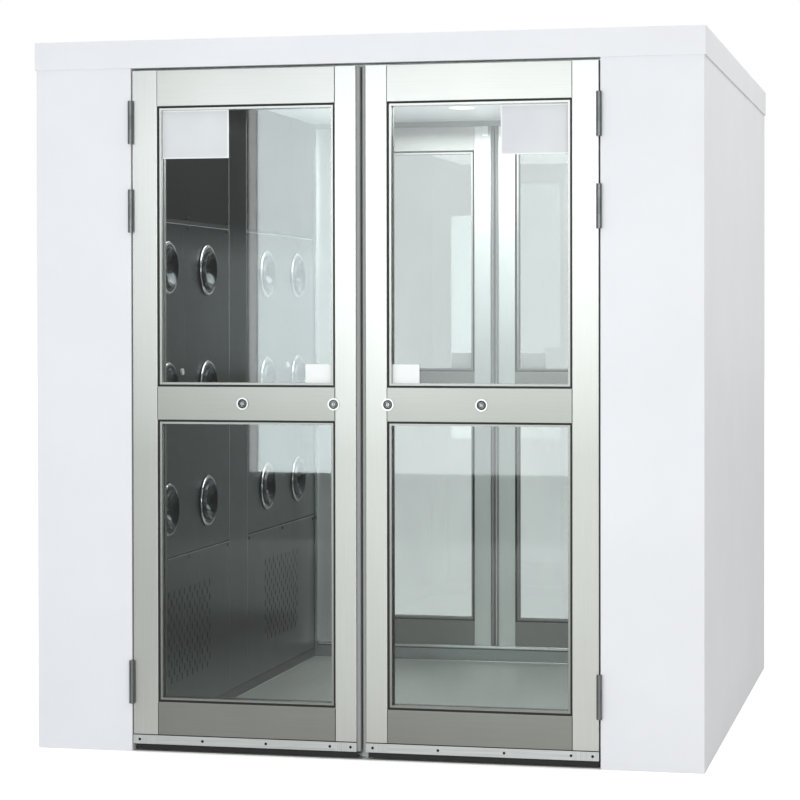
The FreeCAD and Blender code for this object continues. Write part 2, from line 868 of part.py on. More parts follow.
def leaf(end, side):
    """One glazed door leaf: welded box-section frame, panes in gaskets and beads, seals, strip and fittings."""
    sy = ENDS[end]
    sx = SIDES[side]
    name = f"{end}_{side}_leaf"
    face = sy * body_half
    back = sy * leaf_back
    stile_in = hinge_edge - s.hinge_stile
    meet_in = s.meeting_gap + s.meeting_stile
    rail_x = (sx * meet_in, sx * stile_in)
    depth = (back, face)
    rail_levels = {
        "bottom": (s.leaf_foot, s.leaf_foot + s.bottom_rail),
        "middle": (rail_low, rail_low + s.middle_rail),
        "top": (leaf_head - s.top_rail, leaf_head),
    }
    full = (s.leaf_foot, leaf_head)
    members = {
        "hinge_stile": tube(
            name + "_hinge_stile", (sx * stile_in, sx * hinge_edge), depth, full, "z", s.leaf_edge
        ),
        "meeting_stile": tube(
            name + "_meeting_stile", (sx * s.meeting_gap, sx * meet_in), depth, full, "z", s.leaf_edge
        ),
    }
    for level, span in rail_levels.items():
        members[level] = tube(f"{name}_{level}_rail", rail_x, depth, span, "x", s.leaf_edge / 2)

    locks = []
    if end == "front":
        for label, offset in (("edge", s.edge_lock), ("rail", s.rail_lock)):
            centre = sx * offset
            lock = f"{name}_{label}_lock"
            inner = face - sy * s.lock_body_depth
            outer = face + sy * s.rosette_height
            seat = s.lock_body_radius
            holes = ("middle", "meeting_stile") if label == "edge" else ("middle",)
            for member in holes:
                hole = rod(f"{lock}_{member}_hole", "y", seat, (inner, face + sy), centre, s.lock_height)
                members[member] = cut(f"{lock}_{member}_cut", members[member], hole)
            case = fuse(
                lock + "_solid",
                rod(lock + "_body", "y", seat, (inner, face), centre, s.lock_height),
                rod(lock + "_rosette", "y", s.rosette_radius, (face, outer), centre, s.lock_height),
            )
            bore = rod(
                lock + "_bore",
                "y",
                s.plug_radius + s.pin_clearance,
                (inner + sy * s.leaf_wall, outer + sy),
                centre,
                s.lock_height,
            )
            ring_y = (outer - sy * s.rosette_groove_depth, outer + sy)
            groove = cut(
                lock + "_groove",
                rod(lock + "_groove_outer", "y", s.rosette_groove_outer, ring_y, centre, s.lock_height),
                rod(lock + "_groove_inner", "y", s.rosette_groove_inner, ring_y, centre, s.lock_height),
            )
            locks.append(cut(lock + "_case", case, bore, groove))
            plug_face = outer + sy * s.plug_proud
            plug = rod(
                lock + "_plug_round",
                "y",
                s.plug_radius,
                (inner + sy * (s.leaf_wall + s.running_gap), plug_face),
                centre,
                s.lock_height,
            )
            key = box(
                lock + "_key",
                (centre - s.key_width / 2, centre + s.key_width / 2),
                (plug_face - sy * s.key_depth, plug_face + sy),
                (s.lock_height - s.key_height / 2, s.lock_height + s.key_height / 2),
            )
            node(f"{end}_{side}_{label}_lock_plug", cut(lock + "_plug_cut", plug, key))

    glass_step = (s.leaf_thickness - s.glass) / 2
    glass_y = (sy * (leaf_back + glass_step), sy * (body_half - glass_step))
    panes = []
    beads = []
    seals = []
    openings = {
        "lower": (rail_levels["bottom"][1], rail_levels["middle"][0]),
        "upper": (rail_levels["middle"][1], rail_levels["top"][0]),
    }
    for level, (low, high) in openings.items():
        title = f"{name}_{level}"
        gasket_y = (back + sy * s.gasket_recess, face - sy * s.gasket_recess)
        seals.append(frame_ring(title + "_gasket", rail_x, gasket_y, (low, high), s.gasket))
        pane_x = (sx * (meet_in + s.gasket), sx * (stile_in - s.gasket))
        pane_z = (low + s.gasket, high - s.gasket)
        panes.append(box(title + "_pane", pane_x, glass_y, pane_z))
        beads += bars(title + "_inner_bead", pane_x, (back + sy * s.bead_recess, glass_y[0]), pane_z, s.bead)
        beads += bars(title + "_outer_bead", pane_x, (glass_y[1], face - sy * s.bead_recess), pane_z, s.bead)

    for label, y in (("outer", face - sy * s.bulb_inset), ("inner", back + sy * s.bulb_inset)):
        centre = s.meeting_gap - s.bulb_radius
        seals.append(
            fuse(
                f"{name}_{label}_bulb",
                rod(f"{name}_{label}_bulb_round", "z", s.bulb_radius, full, sx * centre, y),
                box(
                    f"{name}_{label}_bulb_root",
                    (sx * centre, sx * s.meeting_gap),
                    (y - s.bulb_radius, y + s.bulb_radius),
                    full,
                ),
            )
        )
    middle_y = sy * (body_half - s.leaf_thickness / 2)
    seals.append(
        box(
            name + "_sweep",
            (sx * (s.meeting_gap + s.leaf_edge), sx * (hinge_edge - s.leaf_edge)),
            (middle_y - s.sweep_gauge / 2, middle_y + s.sweep_gauge / 2),
            (s.sill + s.sweep_clearance, s.leaf_foot),
        )
    )
    strip = box(
        name + "_strip",
        (sx * s.meeting_gap, sx * hinge_edge),
        (face, face + sy * s.strip_gauge),
        (s.leaf_foot, s.leaf_foot + s.strip_height),
    )
    fittings = [strip]
    if side == "left":
        fittings.append(
            rod(name + "_armature", "y", s.magnet_radius, (back, back - sy * s.armature), -s.magnet_side,
                magnet_height)
        )
    jamb_parts = []
    hinges = {
        "low": s.leaf_foot + s.low_hinge_rise,
        "upper": leaf_head - s.upper_hinge_drop,
        "top": leaf_head - s.top_hinge_drop,
    }
    for label, height in hinges.items():
        fixed, moving = hinge_halves(end, side, label, height)
        jamb_parts += fixed
        fittings.append(moving)
    node(name + "_frame", *members.values(), *beads, *fittings, *locks)
    node(name + "_glass", *panes)
    node(name + "_seals", *seals)
    return jamb_parts


def leaves():
    jamb_parts = []
    for end in ENDS:
        for side in SIDES:
            jamb_parts += leaf(end, side)
    node("hinge_jamb_halves", *jamb_parts)


def filters():
    """Final filters on the deck, and the flat pre-filters behind the return-air slots."""
    g = s.sheet_gauge
    finals = []
    flats = []
    for side, sx in SIDES.items():
        near = half_passage + g + s.filter_side_gap
        far = casing_out - g - s.duct_width - s.filter_side_gap
        for end, sy in ENDS.items():
            name = f"{side}_{end}_filter"
            run = (sy * (module_low + s.filter_side_gap), sy * (module_high - s.filter_side_gap))
            low = deck_height
            high = low + s.filter_height
            wall = s.filter_wall
            block = box(name + "_block", (sx * near, sx * far), run, (low, high))
            hollow = box(
                name + "_hollow",
                (sx * (near + wall), sx * (far - wall)),
                (run[0] + sy * wall, run[1] - sy * wall),
                (low - 1, high + 1),
            )
            finals.append(cut(name + "_frame", block, hollow))
            pack_y = (run[0] + sy * wall, run[1] - sy * wall)
            length = abs(number(pack_y[1]) - number(pack_y[0]))
            pleats = max(2, int(length / number(s.pleat_pitch)))
            step = (pack_y[1] - pack_y[0]) / pleats
            for pleat in range(pleats):
                start = pack_y[0] + step * pleat
                finals.append(
                    box(
                        f"{name}_pleat_{pleat + 1}",
                        (sx * (near + wall), sx * (far - wall)),
                        (start, start + step * s.pleat_share),
                        (low + s.filter_pack_inset, high - s.filter_pack_inset),
                    )
                )
            flat = f"{side}_{end}_prefilter"
            inner = sx * (half_passage + g)
            flats.append(
                box(
                    flat,
                    (inner, inner + sx * s.prefilter_depth),
                    (sy * (module_low + s.window_margin / 2), sy * (module_high - s.window_margin / 2)),
                    (panel_foot + s.window_margin / 2, s.return_seam - s.prefilter_margin / 2),
                )
            )
    node("hepa_filters", *finals)
    node("prefilters", *flats)


def scroll_outline(grow):
    """The blower's spiral in its own plane: y to the right, z up, its mouth at the foot of the left side."""
    right = s.scroll_right + grow
    top = s.scroll_top + grow
    left = s.scroll_left + grow
    drop = s.scroll_drop
    throat = s.scroll_throat - grow
    return [
        (-throat, -s.scroll_right - grow, s.scroll_right * 1.02 + grow),
        (right, 0, s.scroll_right * 1.04 + grow),
        (0, top, s.scroll_top * 1.06 + grow),
        (-left, 0),
        (-left, -drop),
        (-throat, -drop),
    ]


def scroll_solid(name, grow, start, width):
    sketch = doc.addObject("Sketcher::SketchObject", name + "_outline")
    outline(sketch, scroll_outline(grow))
    put(sketch, start, 0, 0, Rotation(Vector(1, 1, 1), 120))
    solid = doc.addObject("Part::Extrusion", name)
    solid.Base = sketch
    solid.DirMode = "Custom"
    solid.Dir = Vector(1, 0, 0)
    solid.setExpression("LengthFwd", text(width))
    solid.Solid = True
    return solid


def fan_centre_height():
    return deck_height + s.filter_height + s.air_box_height + s.scroll_drop


def blower(side):
    """Scroll housing, motor and air box of one side, in the blower's own frame: x away from the cabin."""
    sx = SIDES[side]
    name = side + "_blower"
    turn = Rotation(Vector(0, 0, 1), 0 if sx > 0 else 180)
    g = s.scroll_sheet
    x0 = s.fan_side
    x1 = x0 + s.scroll_width
    outer = scroll_solid(name + "_scroll", g, x0, s.scroll_width)
    inner = scroll_solid(name + "_scroll_hollow", 0, x0 + g, s.scroll_width - 2 * g)
    eye = rod(name + "_inlet", "x", s.inlet_radius, (x0 - 1, x0 + g + 1), 0, 0)
    shaft_hole = rod(name + "_shaft_hole", "x", s.shaft_radius + 2, (x1 - g - 1, x1 + 1), 0, 0)
    mouth = box(
        name + "_mouth",
        (x0 + g, x1 - g),
        (-s.scroll_left, -s.scroll_throat),
        (-s.scroll_drop - 1, g - s.scroll_drop),
    )
    housing = cut(name + "_housing", outer, inner, eye, shaft_hole, mouth)
    motor = rod(name + "_motor_round", "x", s.motor_radius, (x1, x1 + s.motor_length), 0, 0)
    bearing = rod(
        name + "_bearing_bore",
        "x",
        s.shaft_radius + s.pin_clearance,
        (x1 - 1, x1 + s.motor_bearing_depth),
        0,
        0,
    )
    motor = cut(name + "_motor", motor, bearing)
    low = -s.scroll_drop - s.air_box_height
    high = -s.scroll_drop
    reach = module_high - s.filter_side_gap
    wide = s.casing_width - 2 * s.sheet_gauge - s.duct_width
    near = s.filter_side_gap
    gap = module_low + s.filter_side_gap
    cover = box(name + "_air_box_block", (near, wide - near), (-reach, reach), (low, high))
    under = box(
        name + "_air_box_hollow", (near + g, wide - near - g), (g - reach, reach - g), (low - 1, high - g)
    )
    blank = box(name + "_air_box_blank", (near, wide - near), (-gap, gap), (low, low + g))
    throat = box(
        name + "_air_box_throat",
        (x0 + g, x1 - g),
        (-s.scroll_left, -s.scroll_throat),
        (high - 2 * g, high + 1),
    )
    air_box = fuse(name + "_air_box", cut(name + "_air_box_shell", cover, under, throat), blank)
    parts = []
    for part in (housing, motor, air_box):
        parts.append(put(part, sx * (half_passage + s.sheet_gauge), 0, fan_centre_height(), turn))
    return parts


def impeller(side):
    """Forward-curved wheel: back plate, blades, front ring and hub on the motor's shaft."""
    sx = SIDES[side]
    name = side + "_impeller"
    body = doc.addObject("PartDesign::Body", name)
    plate = circles(body_sketch(body, name + "_plate_sketch"), s.impeller_radius)
    pad(body, name + "_plate", plate, s.impeller_sheet)
    hub = circles(body_sketch(body, name + "_hub_sketch"), s.hub_radius)
    pad(body, name + "_hub", hub, s.hub_length)
    lead = math.radians(9)
    step = s.blade_gauge / s.impeller_radius
    inner = s.impeller_eye
    outer = s.impeller_radius
    turn = math.degrees(lead)

    def polar(radius, degrees, shift):
        """A point on a circle, turned by a fixed angle and then by an arc length over the radius."""
        angle = math.radians(degrees) + number(shift)
        flat = f"(({degrees} + {text(shift)} * 180 / pi) * 1deg)"
        return (
            Dim(radius.amount * math.cos(angle), f"({radius.formula} * cos({flat}))"),
            Dim(radius.amount * math.sin(angle), f"({radius.formula} * sin({flat}))"),
        )

    blade = body_sketch(body, name + "_blade_sketch")
    first = polar(inner, 0, Dim(0, "0"))
    second = polar(outer, turn, Dim(0, "0"))
    third = polar(outer, turn, step)
    fourth = polar(inner, 0, step)
    outline(
        blade,
        [
            (*first, s.blade_arc_radius),
            second,
            (*third, -s.blade_arc_radius),
            fourth,
        ],
    )
    blade_pad = pad(body, name + "_blade", blade, s.impeller_width)
    doc.recompute()
    ring = body.newObject("PartDesign::PolarPattern", name + "_blades")
    ring.Originals = [blade_pad]
    ring.Axis = (blade, ["N_Axis"])
    ring.Angle = 360
    ring.setExpression("Occurrences", "Sizes.blades")
    body.Tip = ring
    rim = circles(
        body_sketch(body, name + "_rim_sketch", offset=s.impeller_width - s.impeller_sheet),
        s.impeller_radius,
        s.impeller_eye,
    )
    pad(body, name + "_rim", rim, s.impeller_sheet)
    shaft = circles(body_sketch(body, name + "_shaft_sketch"), s.shaft_radius)
    stub = pad(body, name + "_shaft", shaft, s.motor_bearing_depth)
    stub.Reversed = True
    body.Tip = stub
    wheel_back = half_passage + s.sheet_gauge + s.fan_side + s.scroll_width - s.scroll_sheet - 6
    facing = Rotation(Vector(0, 1, 0), -90 * sx)
    node(name, put(body, sx * wheel_back, 0, fan_centre_height(), facing))


def control_box():
    half_x = s.control_length / 2
    half_y = s.control_width / 2
    low = ceiling_height + s.ceiling_gauge
    shell = rounded(
        "control_block",
        box("control_outer", (-half_x, half_x), (-half_y, half_y), (low, low + s.control_height)),
        s.casing_corner,
        "z",
    )
    g = s.sheet_gauge
    hollow = box(
        "control_hollow",
        (g - half_x, half_x - g),
        (g - half_y, half_y - g),
        (low + g, low + s.control_height - g),
    )
    node("control_box", cut("control_shell", shell, hollow))


for side in SIDES:
    casing(side)
    wall_panels(side)
roof_cap()
floor()
door_stops()
magnets()
ceiling()
return_grilles()
nozzles()
sensors()
leaves()
filters()
node("fan_housings", *[part for side in SIDES for part in blower(side)])
for side in SIDES:
    impeller(side)
control_box()
doc.recompute()

# Nothing is written unless every object is sound
for item in doc.Objects:
    if "Invalid" in item.State or "Error" in item.State:
        raise SystemExit(f"{item.Label} failed: {item.State}")
for part in NODES:
    if part.Shape.isNull() or not part.Shape.isValid():
        raise SystemExit(f"{part.Label} has no sound shape")

os.makedirs("parts", exist_ok=True)
for part in NODES:
    part.Shape.exportStep(f"parts/{part.Label}.step")
    print(f"{part.Label:32} solids {len(part.Shape.Solids):4}  volume {part.Shape.Volume / 1e6:9.3f} dm3")
print(len(NODES), "nodes")
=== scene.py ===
"""Cargo air shower: finishes, fasteners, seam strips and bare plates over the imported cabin."""

import math

import bmesh
import bpy
from mathutils import Matrix, Vector


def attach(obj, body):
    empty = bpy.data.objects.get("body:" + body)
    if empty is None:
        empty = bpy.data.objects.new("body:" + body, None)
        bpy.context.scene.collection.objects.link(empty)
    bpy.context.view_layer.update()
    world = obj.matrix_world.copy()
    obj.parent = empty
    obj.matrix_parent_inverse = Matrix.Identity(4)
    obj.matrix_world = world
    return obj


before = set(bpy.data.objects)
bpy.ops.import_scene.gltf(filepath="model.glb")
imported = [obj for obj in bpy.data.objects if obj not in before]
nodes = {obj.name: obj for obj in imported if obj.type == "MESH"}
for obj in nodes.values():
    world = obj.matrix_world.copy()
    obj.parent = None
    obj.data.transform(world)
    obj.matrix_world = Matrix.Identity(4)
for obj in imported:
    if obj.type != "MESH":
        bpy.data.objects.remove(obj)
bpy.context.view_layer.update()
MM = 0.001
SIDES = {"left": -1, "right": 1}
ENDS = {"front": -1, "rear": 1}

# Lengths of the cabin in millimetres, as the solids have them
BODY_HALF = 996
LEAF_BACK = 948
MEETING_EDGE = 14.5
WALL_FACE = 692
MODULE_LOW = 100
MODULE_HIGH = 925.5
RETURN_SEAM = 540
NOZZLE_SEAM = 1582
PANEL_FOOT = 38
PANEL_HEAD = 2012
NOZZLE_COLUMNS = (324.75, 700.75)
NOZZLE_LOW = 690
NOZZLE_PITCH = 373
GLASS_OUT = 976
GLASS_IN = 968
STILE_EDGES = (78, 619)
LEAF_EDGES = (14, 696)
RAILS = ((50, 149), (982, 1080), (1905, 2010))
STRIP_FACE = BODY_HALF + 2.5
STRIP_TOP = 51
HINGE_SIDE = 685
LOCK_HEIGHT = 1031
LOCK_SIDE = 600
LOCK_OFFSETS = {"edge": 81, "rail": 357}
ROSETTE_STAND = 3.4
ROSETTE_FACE = BODY_HALF + 4
PLUG_FACE = ROSETTE_FACE + 1.5
SKIRT_FROM = 5
STOP_BACK = 927.5
SLOT_MIDDLE = 500.75

# What the finishes share: the cabin's height in metres, brush lines in millimetres, the film's part of
# light that passes, and the radius in millimetres up to which a nozzle's bands of painted highlight and
# shade reach
CABIN_HEIGHT = 2.1
BRUSH_WIDTH = 3.0
BRUSH_LENGTH = 260.0
GLASS_IOR = 1.5
FILM_CLEARNESS = 0.85
BAND_REACH = 100


# ---- material tools
def linear(colour):
    """A six-digit sRGB hex colour as linear RGBA."""
    parts = [int(colour[i : i + 2], 16) / 255 for i in (0, 2, 4)]
    return (*[c / 12.92 if c <= 0.04045 else ((c + 0.055) / 1.055) ** 2.4 for c in parts], 1)


def add(tree, kind, inputs=None, **settings):
    """Adds one node with its settings; an input is a plain value or another node's output."""
    made = tree.nodes.new(kind)
    for word, value in settings.items():
        setattr(made, word, value)
    for socket, value in (inputs or {}).items():
        if isinstance(value, bpy.types.NodeSocket):
            tree.links.new(value, made.inputs[socket])
        else:
            made.inputs[socket].default_value = value
    return made


def maths(tree, kind, *values):
    """The result of one math node on its values."""
    return add(tree, "ShaderNodeMath", dict(enumerate(values)), operation=kind).outputs[0]


def average(tree, first, second):
    return maths(tree, "MULTIPLY", maths(tree, "ADD", first, second), 0.5)


def empty_material(name):
    material = bpy.data.materials.new(name)
    material.use_nodes = True
    material.node_tree.nodes.clear()
    return material, material.node_tree


def new_material(name, **constants):
    """A material with one Principled shader, its fixed numbers set on the shader's own sockets."""
    material, tree = empty_material(name)
    shader = add(tree, "ShaderNodeBsdfPrincipled")
    out = add(tree, "ShaderNodeOutputMaterial", {"Surface": shader.outputs[0]})
    out.is_active_output = True
    for word, value in constants.items():
        shader.inputs[word.replace("_", " ")].default_value = value
    return material, tree, shader


def place(tree, scale=(1, 1, 1)):
    """Object coordinates in metres, scaled along each axis."""
    where = add(tree, "ShaderNodeTexCoord").outputs["Object"]
    return add(tree, "ShaderNodeMapping", {"Vector": where, "Scale": scale}).outputs[0]


def position(tree):
    """The outputs x, y and z of the object's own coordinates in metres."""
    where = add(tree, "ShaderNodeTexCoord").outputs["Object"]
    return add(tree, "ShaderNodeSeparateXYZ", {"Vector": where}).outputs


def shades(tree, factor, *stops):
    """A colour ramp from (position, hex colour) stops."""
    ramp = add(tree, "ShaderNodeValToRGB", {"Fac": factor})
    while len(ramp.color_ramp.elements) < len(stops):
        ramp.color_ramp.elements.new(0.5)
    for element, (share, colour) in zip(ramp.color_ramp.elements, stops):
        element.position = share
        element.color = linear(colour)
    return ramp.outputs[0]


def mixed(tree, blend, factor, first, second):
    """Two colours blended: factor 0 gives the first."""
    made = add(tree, "ShaderNodeMix", {"Factor": factor}, data_type="RGBA", blend_type=blend)
    tree.links.new(first, made.inputs[6])
    tree.links.new(second, made.inputs[7])
    return made.outputs[2]


def spread(tree, factor, low, high):
    """Maps a factor of 0 to 1 onto low to high."""
    return add(tree, "ShaderNodeMapRange", {"Value": factor, "To Min": low, "To Max": high}).outputs[0]


def bump(tree, shader, height, strength, depth_mm):
    depth = depth_mm * MM
    made = add(tree, "ShaderNodeBump", {"Height": height, "Strength": strength, "Distance": depth})
    tree.links.new(made.outputs[0], shader.inputs["Normal"])


def noise(tree, vector, scale=1.0, detail=2.0, rough=0.5):
    settings = {"Vector": vector, "Scale": scale, "Detail": detail, "Roughness": rough}
    return add(tree, "ShaderNodeTexNoise", settings).outputs[0]


def brush_scales(grain, width=BRUSH_WIDTH, length=BRUSH_LENGTH):
    """The scale of a noise that is drawn out into brush lines along one axis."""
    across = 1 / (width * MM)
    along = 1 / (length * MM)
    return [along if axis == grain else across for axis in "xyz"]


# ---- finishes
def powder_coat(name, low, high):
    """Polyester powder coat on steel sheet: satin, with a faint orange peel 2 mm across."""
    material, tree, shader = new_material(name, IOR=1.5)
    cloud = noise(tree, place(tree, (3, 3, 3)), 1, 3)
    tree.links.new(shades(tree, cloud, (0.3, low), (0.7, high)), shader.inputs["Base Color"])
    peel = noise(tree, place(tree), 1 / (2 * MM), 2)
    tree.links.new(spread(tree, peel, 0.34, 0.46), shader.inputs["Roughness"])
    bump(tree, shader, peel, 0.12, 0.05)
    return material


def brushed_metal(
    name, grain, low, high, smooth, rough, width=BRUSH_WIDTH, length=BRUSH_LENGTH, painted_shade_heights=()
):
    """Hairline-brushed sheet. The real lines are 0.1 mm wide; they are drawn wider so that they show.

    The stops by height are (share of the cabin's height, hex colour) stops of painted reflection and
    shade from foot to head; with them the gloss is also painted dimmer towards the head.
    """
    material, tree, shader = new_material(name, Metallic=1.0)
    line = noise(tree, place(tree, brush_scales(grain, width, length)), 1, 4, 0.6)
    cloud = noise(tree, place(tree, (2.2, 2.2, 1.1)), 1, 2)
    tone = shades(tree, average(tree, line, cloud), (0.32, low), (0.68, high))
    if painted_shade_heights:
        share = maths(tree, "MULTIPLY", position(tree)[2], 1 / CABIN_HEIGHT)
        tone = mixed(tree, "MULTIPLY", 1.0, tone, shades(tree, share, *painted_shade_heights))
        # Painted shade on the gloss: the specular tint dims above 0.7 of the cabin's height
        edge = shades(tree, share, (0.7, "ffffff"), (0.76, "c6c6c6"))
        tree.links.new(edge, shader.inputs["Specular Tint"])
    tree.links.new(tone, shader.inputs["Base Color"])
    tree.links.new(spread(tree, line, smooth, rough), shader.inputs["Roughness"])
    bump(tree, shader, line, 0.08, 0.2)
    return material


def leaf_stainless(name):
    """Brushed box section: grain up the stiles and along the rails, with painted shade towards the foot.
    """
    material, tree, shader = new_material(name, Metallic=1.0)
    axes = position(tree)
    side = maths(tree, "ABSOLUTE", axes[0])
    depth = maths(tree, "ABSOLUTE", axes[1])
    # The grain runs along the rails between the stiles, and up the stiles
    past = maths(tree, "GREATER_THAN", side, STILE_EDGES[0] * MM)
    short = maths(tree, "LESS_THAN", side, STILE_EDGES[1] * MM)
    rail = maths(tree, "MULTIPLY", past, short)
    upright = noise(tree, place(tree, brush_scales("z")), 1, 4, 0.6)
    level = noise(tree, place(tree, brush_scales("x")), 1, 4, 0.6)
    line = add(tree, "ShaderNodeMix", {0: rail, 2: upright, 3: level}).outputs[0]
    cloud = noise(tree, place(tree, (2.5, 2.5, 1.2)), 1, 2)
    # Painted reflections by height: darker towards the foot and paler towards the head, the rails darker
    # than the stiles; the stiles are painted paler on the face towards the passage
    height = maths(tree, "MULTIPLY", axes[2], 1 / CABIN_HEIGHT)
    stile = shades(tree, height, (0.0, "c7c8c3"), (0.42, "b3b4af"), (0.85, "d9dad8"))
    cross = shades(tree, height, (0.06, "8c8d87"), (0.45, "9c9d98"), (0.9, "cecfcc"))
    inside = maths(tree, "LESS_THAN", depth, (LEAF_BACK + 1) * MM)
    # Painted reflection: the stiles' inner faces are paler
    painted_bright_inside = shades(tree, height, (0.0, "e6e7e4"), (0.5, "f0f1ef"), (0.9, "f4f5f4"))
    stile = mixed(tree, "MIX", inside, stile, painted_bright_inside)
    tone = mixed(tree, "MIX", rail, stile, cross)
    # What stands proud of the leaf: hinge halves, rosettes of the key cylinders and the foot strip
    proud = maths(tree, "GREATER_THAN", depth, (BODY_HALF + 1) * MM)
    edge = maths(tree, "GREATER_THAN", side, HINGE_SIDE * MM)
    hinge = maths(tree, "MULTIPLY", proud, edge)
    tone = mixed(tree, "MIX", hinge, tone, shades(tree, line, (0.3, "6a6d6e"), (0.7, "7c7f80")))
    foot = maths(tree, "LESS_THAN", axes[2], STRIP_TOP * MM)
    strip = maths(tree, "MULTIPLY", proud, foot)
    rosette = maths(tree, "GREATER_THAN", depth, (BODY_HALF + ROSETTE_STAND) * MM)
    amid = maths(tree, "LESS_THAN", side, LOCK_SIDE * MM)
    rosette = maths(tree, "MULTIPLY", rosette, amid)
    tone = mixed(tree, "MIX", rosette, tone, shades(tree, line, (0.3, "dcdedf"), (0.7, "e8e9ea")))
    tone = mixed(tree, "MIX", strip, tone, shades(tree, line, (0.3, "c2c4c3"), (0.7, "d2d4d3")))
    brush = shades(tree, average(tree, line, cloud), (0.32, "f0f0f0"), (0.68, "ffffff"))
    tree.links.new(mixed(tree, "MULTIPLY", 1.0, tone, brush), shader.inputs["Base Color"])
    tree.links.new(spread(tree, line, 0.34, 0.46), shader.inputs["Roughness"])
    bump(tree, shader, line, 0.08, 0.2)
    return material


def floor_plate_metal(name):
    """Floor plate scuffed matt by trolleys, brushed along the passage, its skirts painted dark as shade.
    """
    material, tree, shader = new_material(name, Metallic=0.7)
    line = noise(tree, place(tree, brush_scales("y")), 1, 4, 0.6)
    scuff = noise(tree, place(tree, (5, 2, 5)), 1, 4)
    half = average(tree, line, scuff)
    axes = position(tree)
    skirt = maths(tree, "GREATER_THAN", axes[2], SKIRT_FROM * MM)
    plate_tone = shades(tree, half, (0.32, "c3c8c1"), (0.68, "d8dcd6"))
    # Painted shade: the skirts up the walls are dark
    skirt_painted_shade = shades(tree, half, (0.32, "3c3f3f"), (0.68, "4b4f4f"))
    tree.links.new(mixed(tree, "MIX", skirt, plate_tone, skirt_painted_shade), shader.inputs["Base Color"])
    tree.links.new(spread(tree, line, 0.34, 0.5), shader.inputs["Roughness"])
    bump(tree, shader, line, 0.08, 0.2)
    return material


def leaf_rubber(name):
    """Black gaskets round the panes; grey seals down the meeting edges."""
    material, tree, shader = new_material(name, IOR=1.5)
    grain = noise(tree, place(tree), 1 / (1.5 * MM), 3)
    axes = position(tree)
    side = maths(tree, "ABSOLUTE", axes[0])
    meeting = maths(tree, "LESS_THAN", side, MEETING_EDGE * MM)
    black = shades(tree, grain, (0.3, "0d0e0f"), (0.7, "1a1b1c"))
    grey = shades(tree, grain, (0.3, "8f9291"), (0.7, "a3a6a4"))
    tree.links.new(mixed(tree, "MIX", meeting, black, grey), shader.inputs["Base Color"])
    tree.links.new(spread(tree, grain, 0.45, 0.65), shader.inputs["Roughness"])
    bump(tree, shader, grain, 0.15, 0.05)
    return material


def spun_metal(name, smooth, rough, *painted_bands):
    """Spun and polished bowls and rings: turning lines and bands of painted highlight and shade round
    each nozzle's own axis.

    The bands are (radius in mm, hex colour) stops.
    """
    material, tree, shader = new_material(name, Metallic=1.0)
    axes = position(tree)
    side = maths(tree, "ABSOLUTE", axes[1])
    step = (NOZZLE_COLUMNS[1] - NOZZLE_COLUMNS[0]) * MM

    def near(value, first, pitch):
        """The distance from the nearest nozzle centre in one direction."""
        moved = maths(tree, "SUBTRACT", value, first - pitch / 2)
        wrapped = maths(tree, "WRAP", moved, pitch, 0.0)
        return maths(tree, "SUBTRACT", wrapped, pitch / 2)

    level = near(axes[2], NOZZLE_LOW * MM, NOZZLE_PITCH * MM)
    along = near(side, NOZZLE_COLUMNS[0] * MM, step)
    flat = add(tree, "ShaderNodeCombineXYZ", {0: along, 1: level, 2: 0.0}).outputs[0]
    radius = add(tree, "ShaderNodeVectorMath", {0: flat}, operation="LENGTH").outputs["Value"]
    turns = maths(tree, "MULTIPLY", radius, 1 / (1.5 * MM))
    rings = add(tree, "ShaderNodeCombineXYZ", {0: turns, 1: 0.0, 2: 0.0}).outputs[0]
    line = noise(tree, rings, 1, 2)
    share = maths(tree, "MULTIPLY", radius, 1 / (BAND_REACH * MM))
    tone = shades(tree, share, *[(reach / BAND_REACH, colour) for reach, colour in painted_bands])
    lined = shades(tree, line, (0.3, "e0e0e0"), (0.7, "ffffff"))
    tree.links.new(mixed(tree, "MULTIPLY", 1.0, tone, lined), shader.inputs["Base Color"])
    tree.links.new(spread(tree, line, smooth, rough), shader.inputs["Roughness"])
    return material


def toughened_glass(name, low, high):
    """Clear 8 mm glass: light passes straight, and Fresnel gives the mirror share on both faces."""
    material, tree = empty_material(name)
    smear = noise(tree, place(tree, (4, 4, 2)), 1, 3)
    tint = shades(tree, smear, (0.3, low), (0.7, high))
    through = add(tree, "ShaderNodeBsdfTransparent", {"Color": tint})
    gloss = add(tree, "ShaderNodeBsdfGlossy", {"Color": (1, 1, 1, 1), "Roughness": 0.02})
    side = add(tree, "ShaderNodeNewGeometry")
    index = spread(tree, side.outputs["Backfacing"], GLASS_IOR, 1 / GLASS_IOR)
    share = add(tree, "ShaderNodeFresnel", {"IOR": index}).outputs[0]
    pane = add(tree, "ShaderNodeMixShader", {0: share, 1: through.outputs[0], 2: gloss.outputs[0]})
    add(tree, "ShaderNodeOutputMaterial", {"Surface": pane.outputs[0]})
    return material


def plain_matt(name, low, high, smooth, rough, grain_mm=1.5, depth_mm=0.05, **constants):
    """Rubber, plastic, paper or paint: two near shades and a fine-grained surface."""
    material, tree, shader = new_material(name, **constants)
    grain = noise(tree, place(tree), 1 / (grain_mm * MM), 3)
    cloud = noise(tree, place(tree), 6, 2)
    tree.links.new(shades(tree, cloud, (0.3, low), (0.7, high)), shader.inputs["Base Color"])
    tree.links.new(spread(tree, grain, smooth, rough), shader.inputs["Roughness"])
    bump(tree, shader, grain, 0.15, depth_mm)
    return material


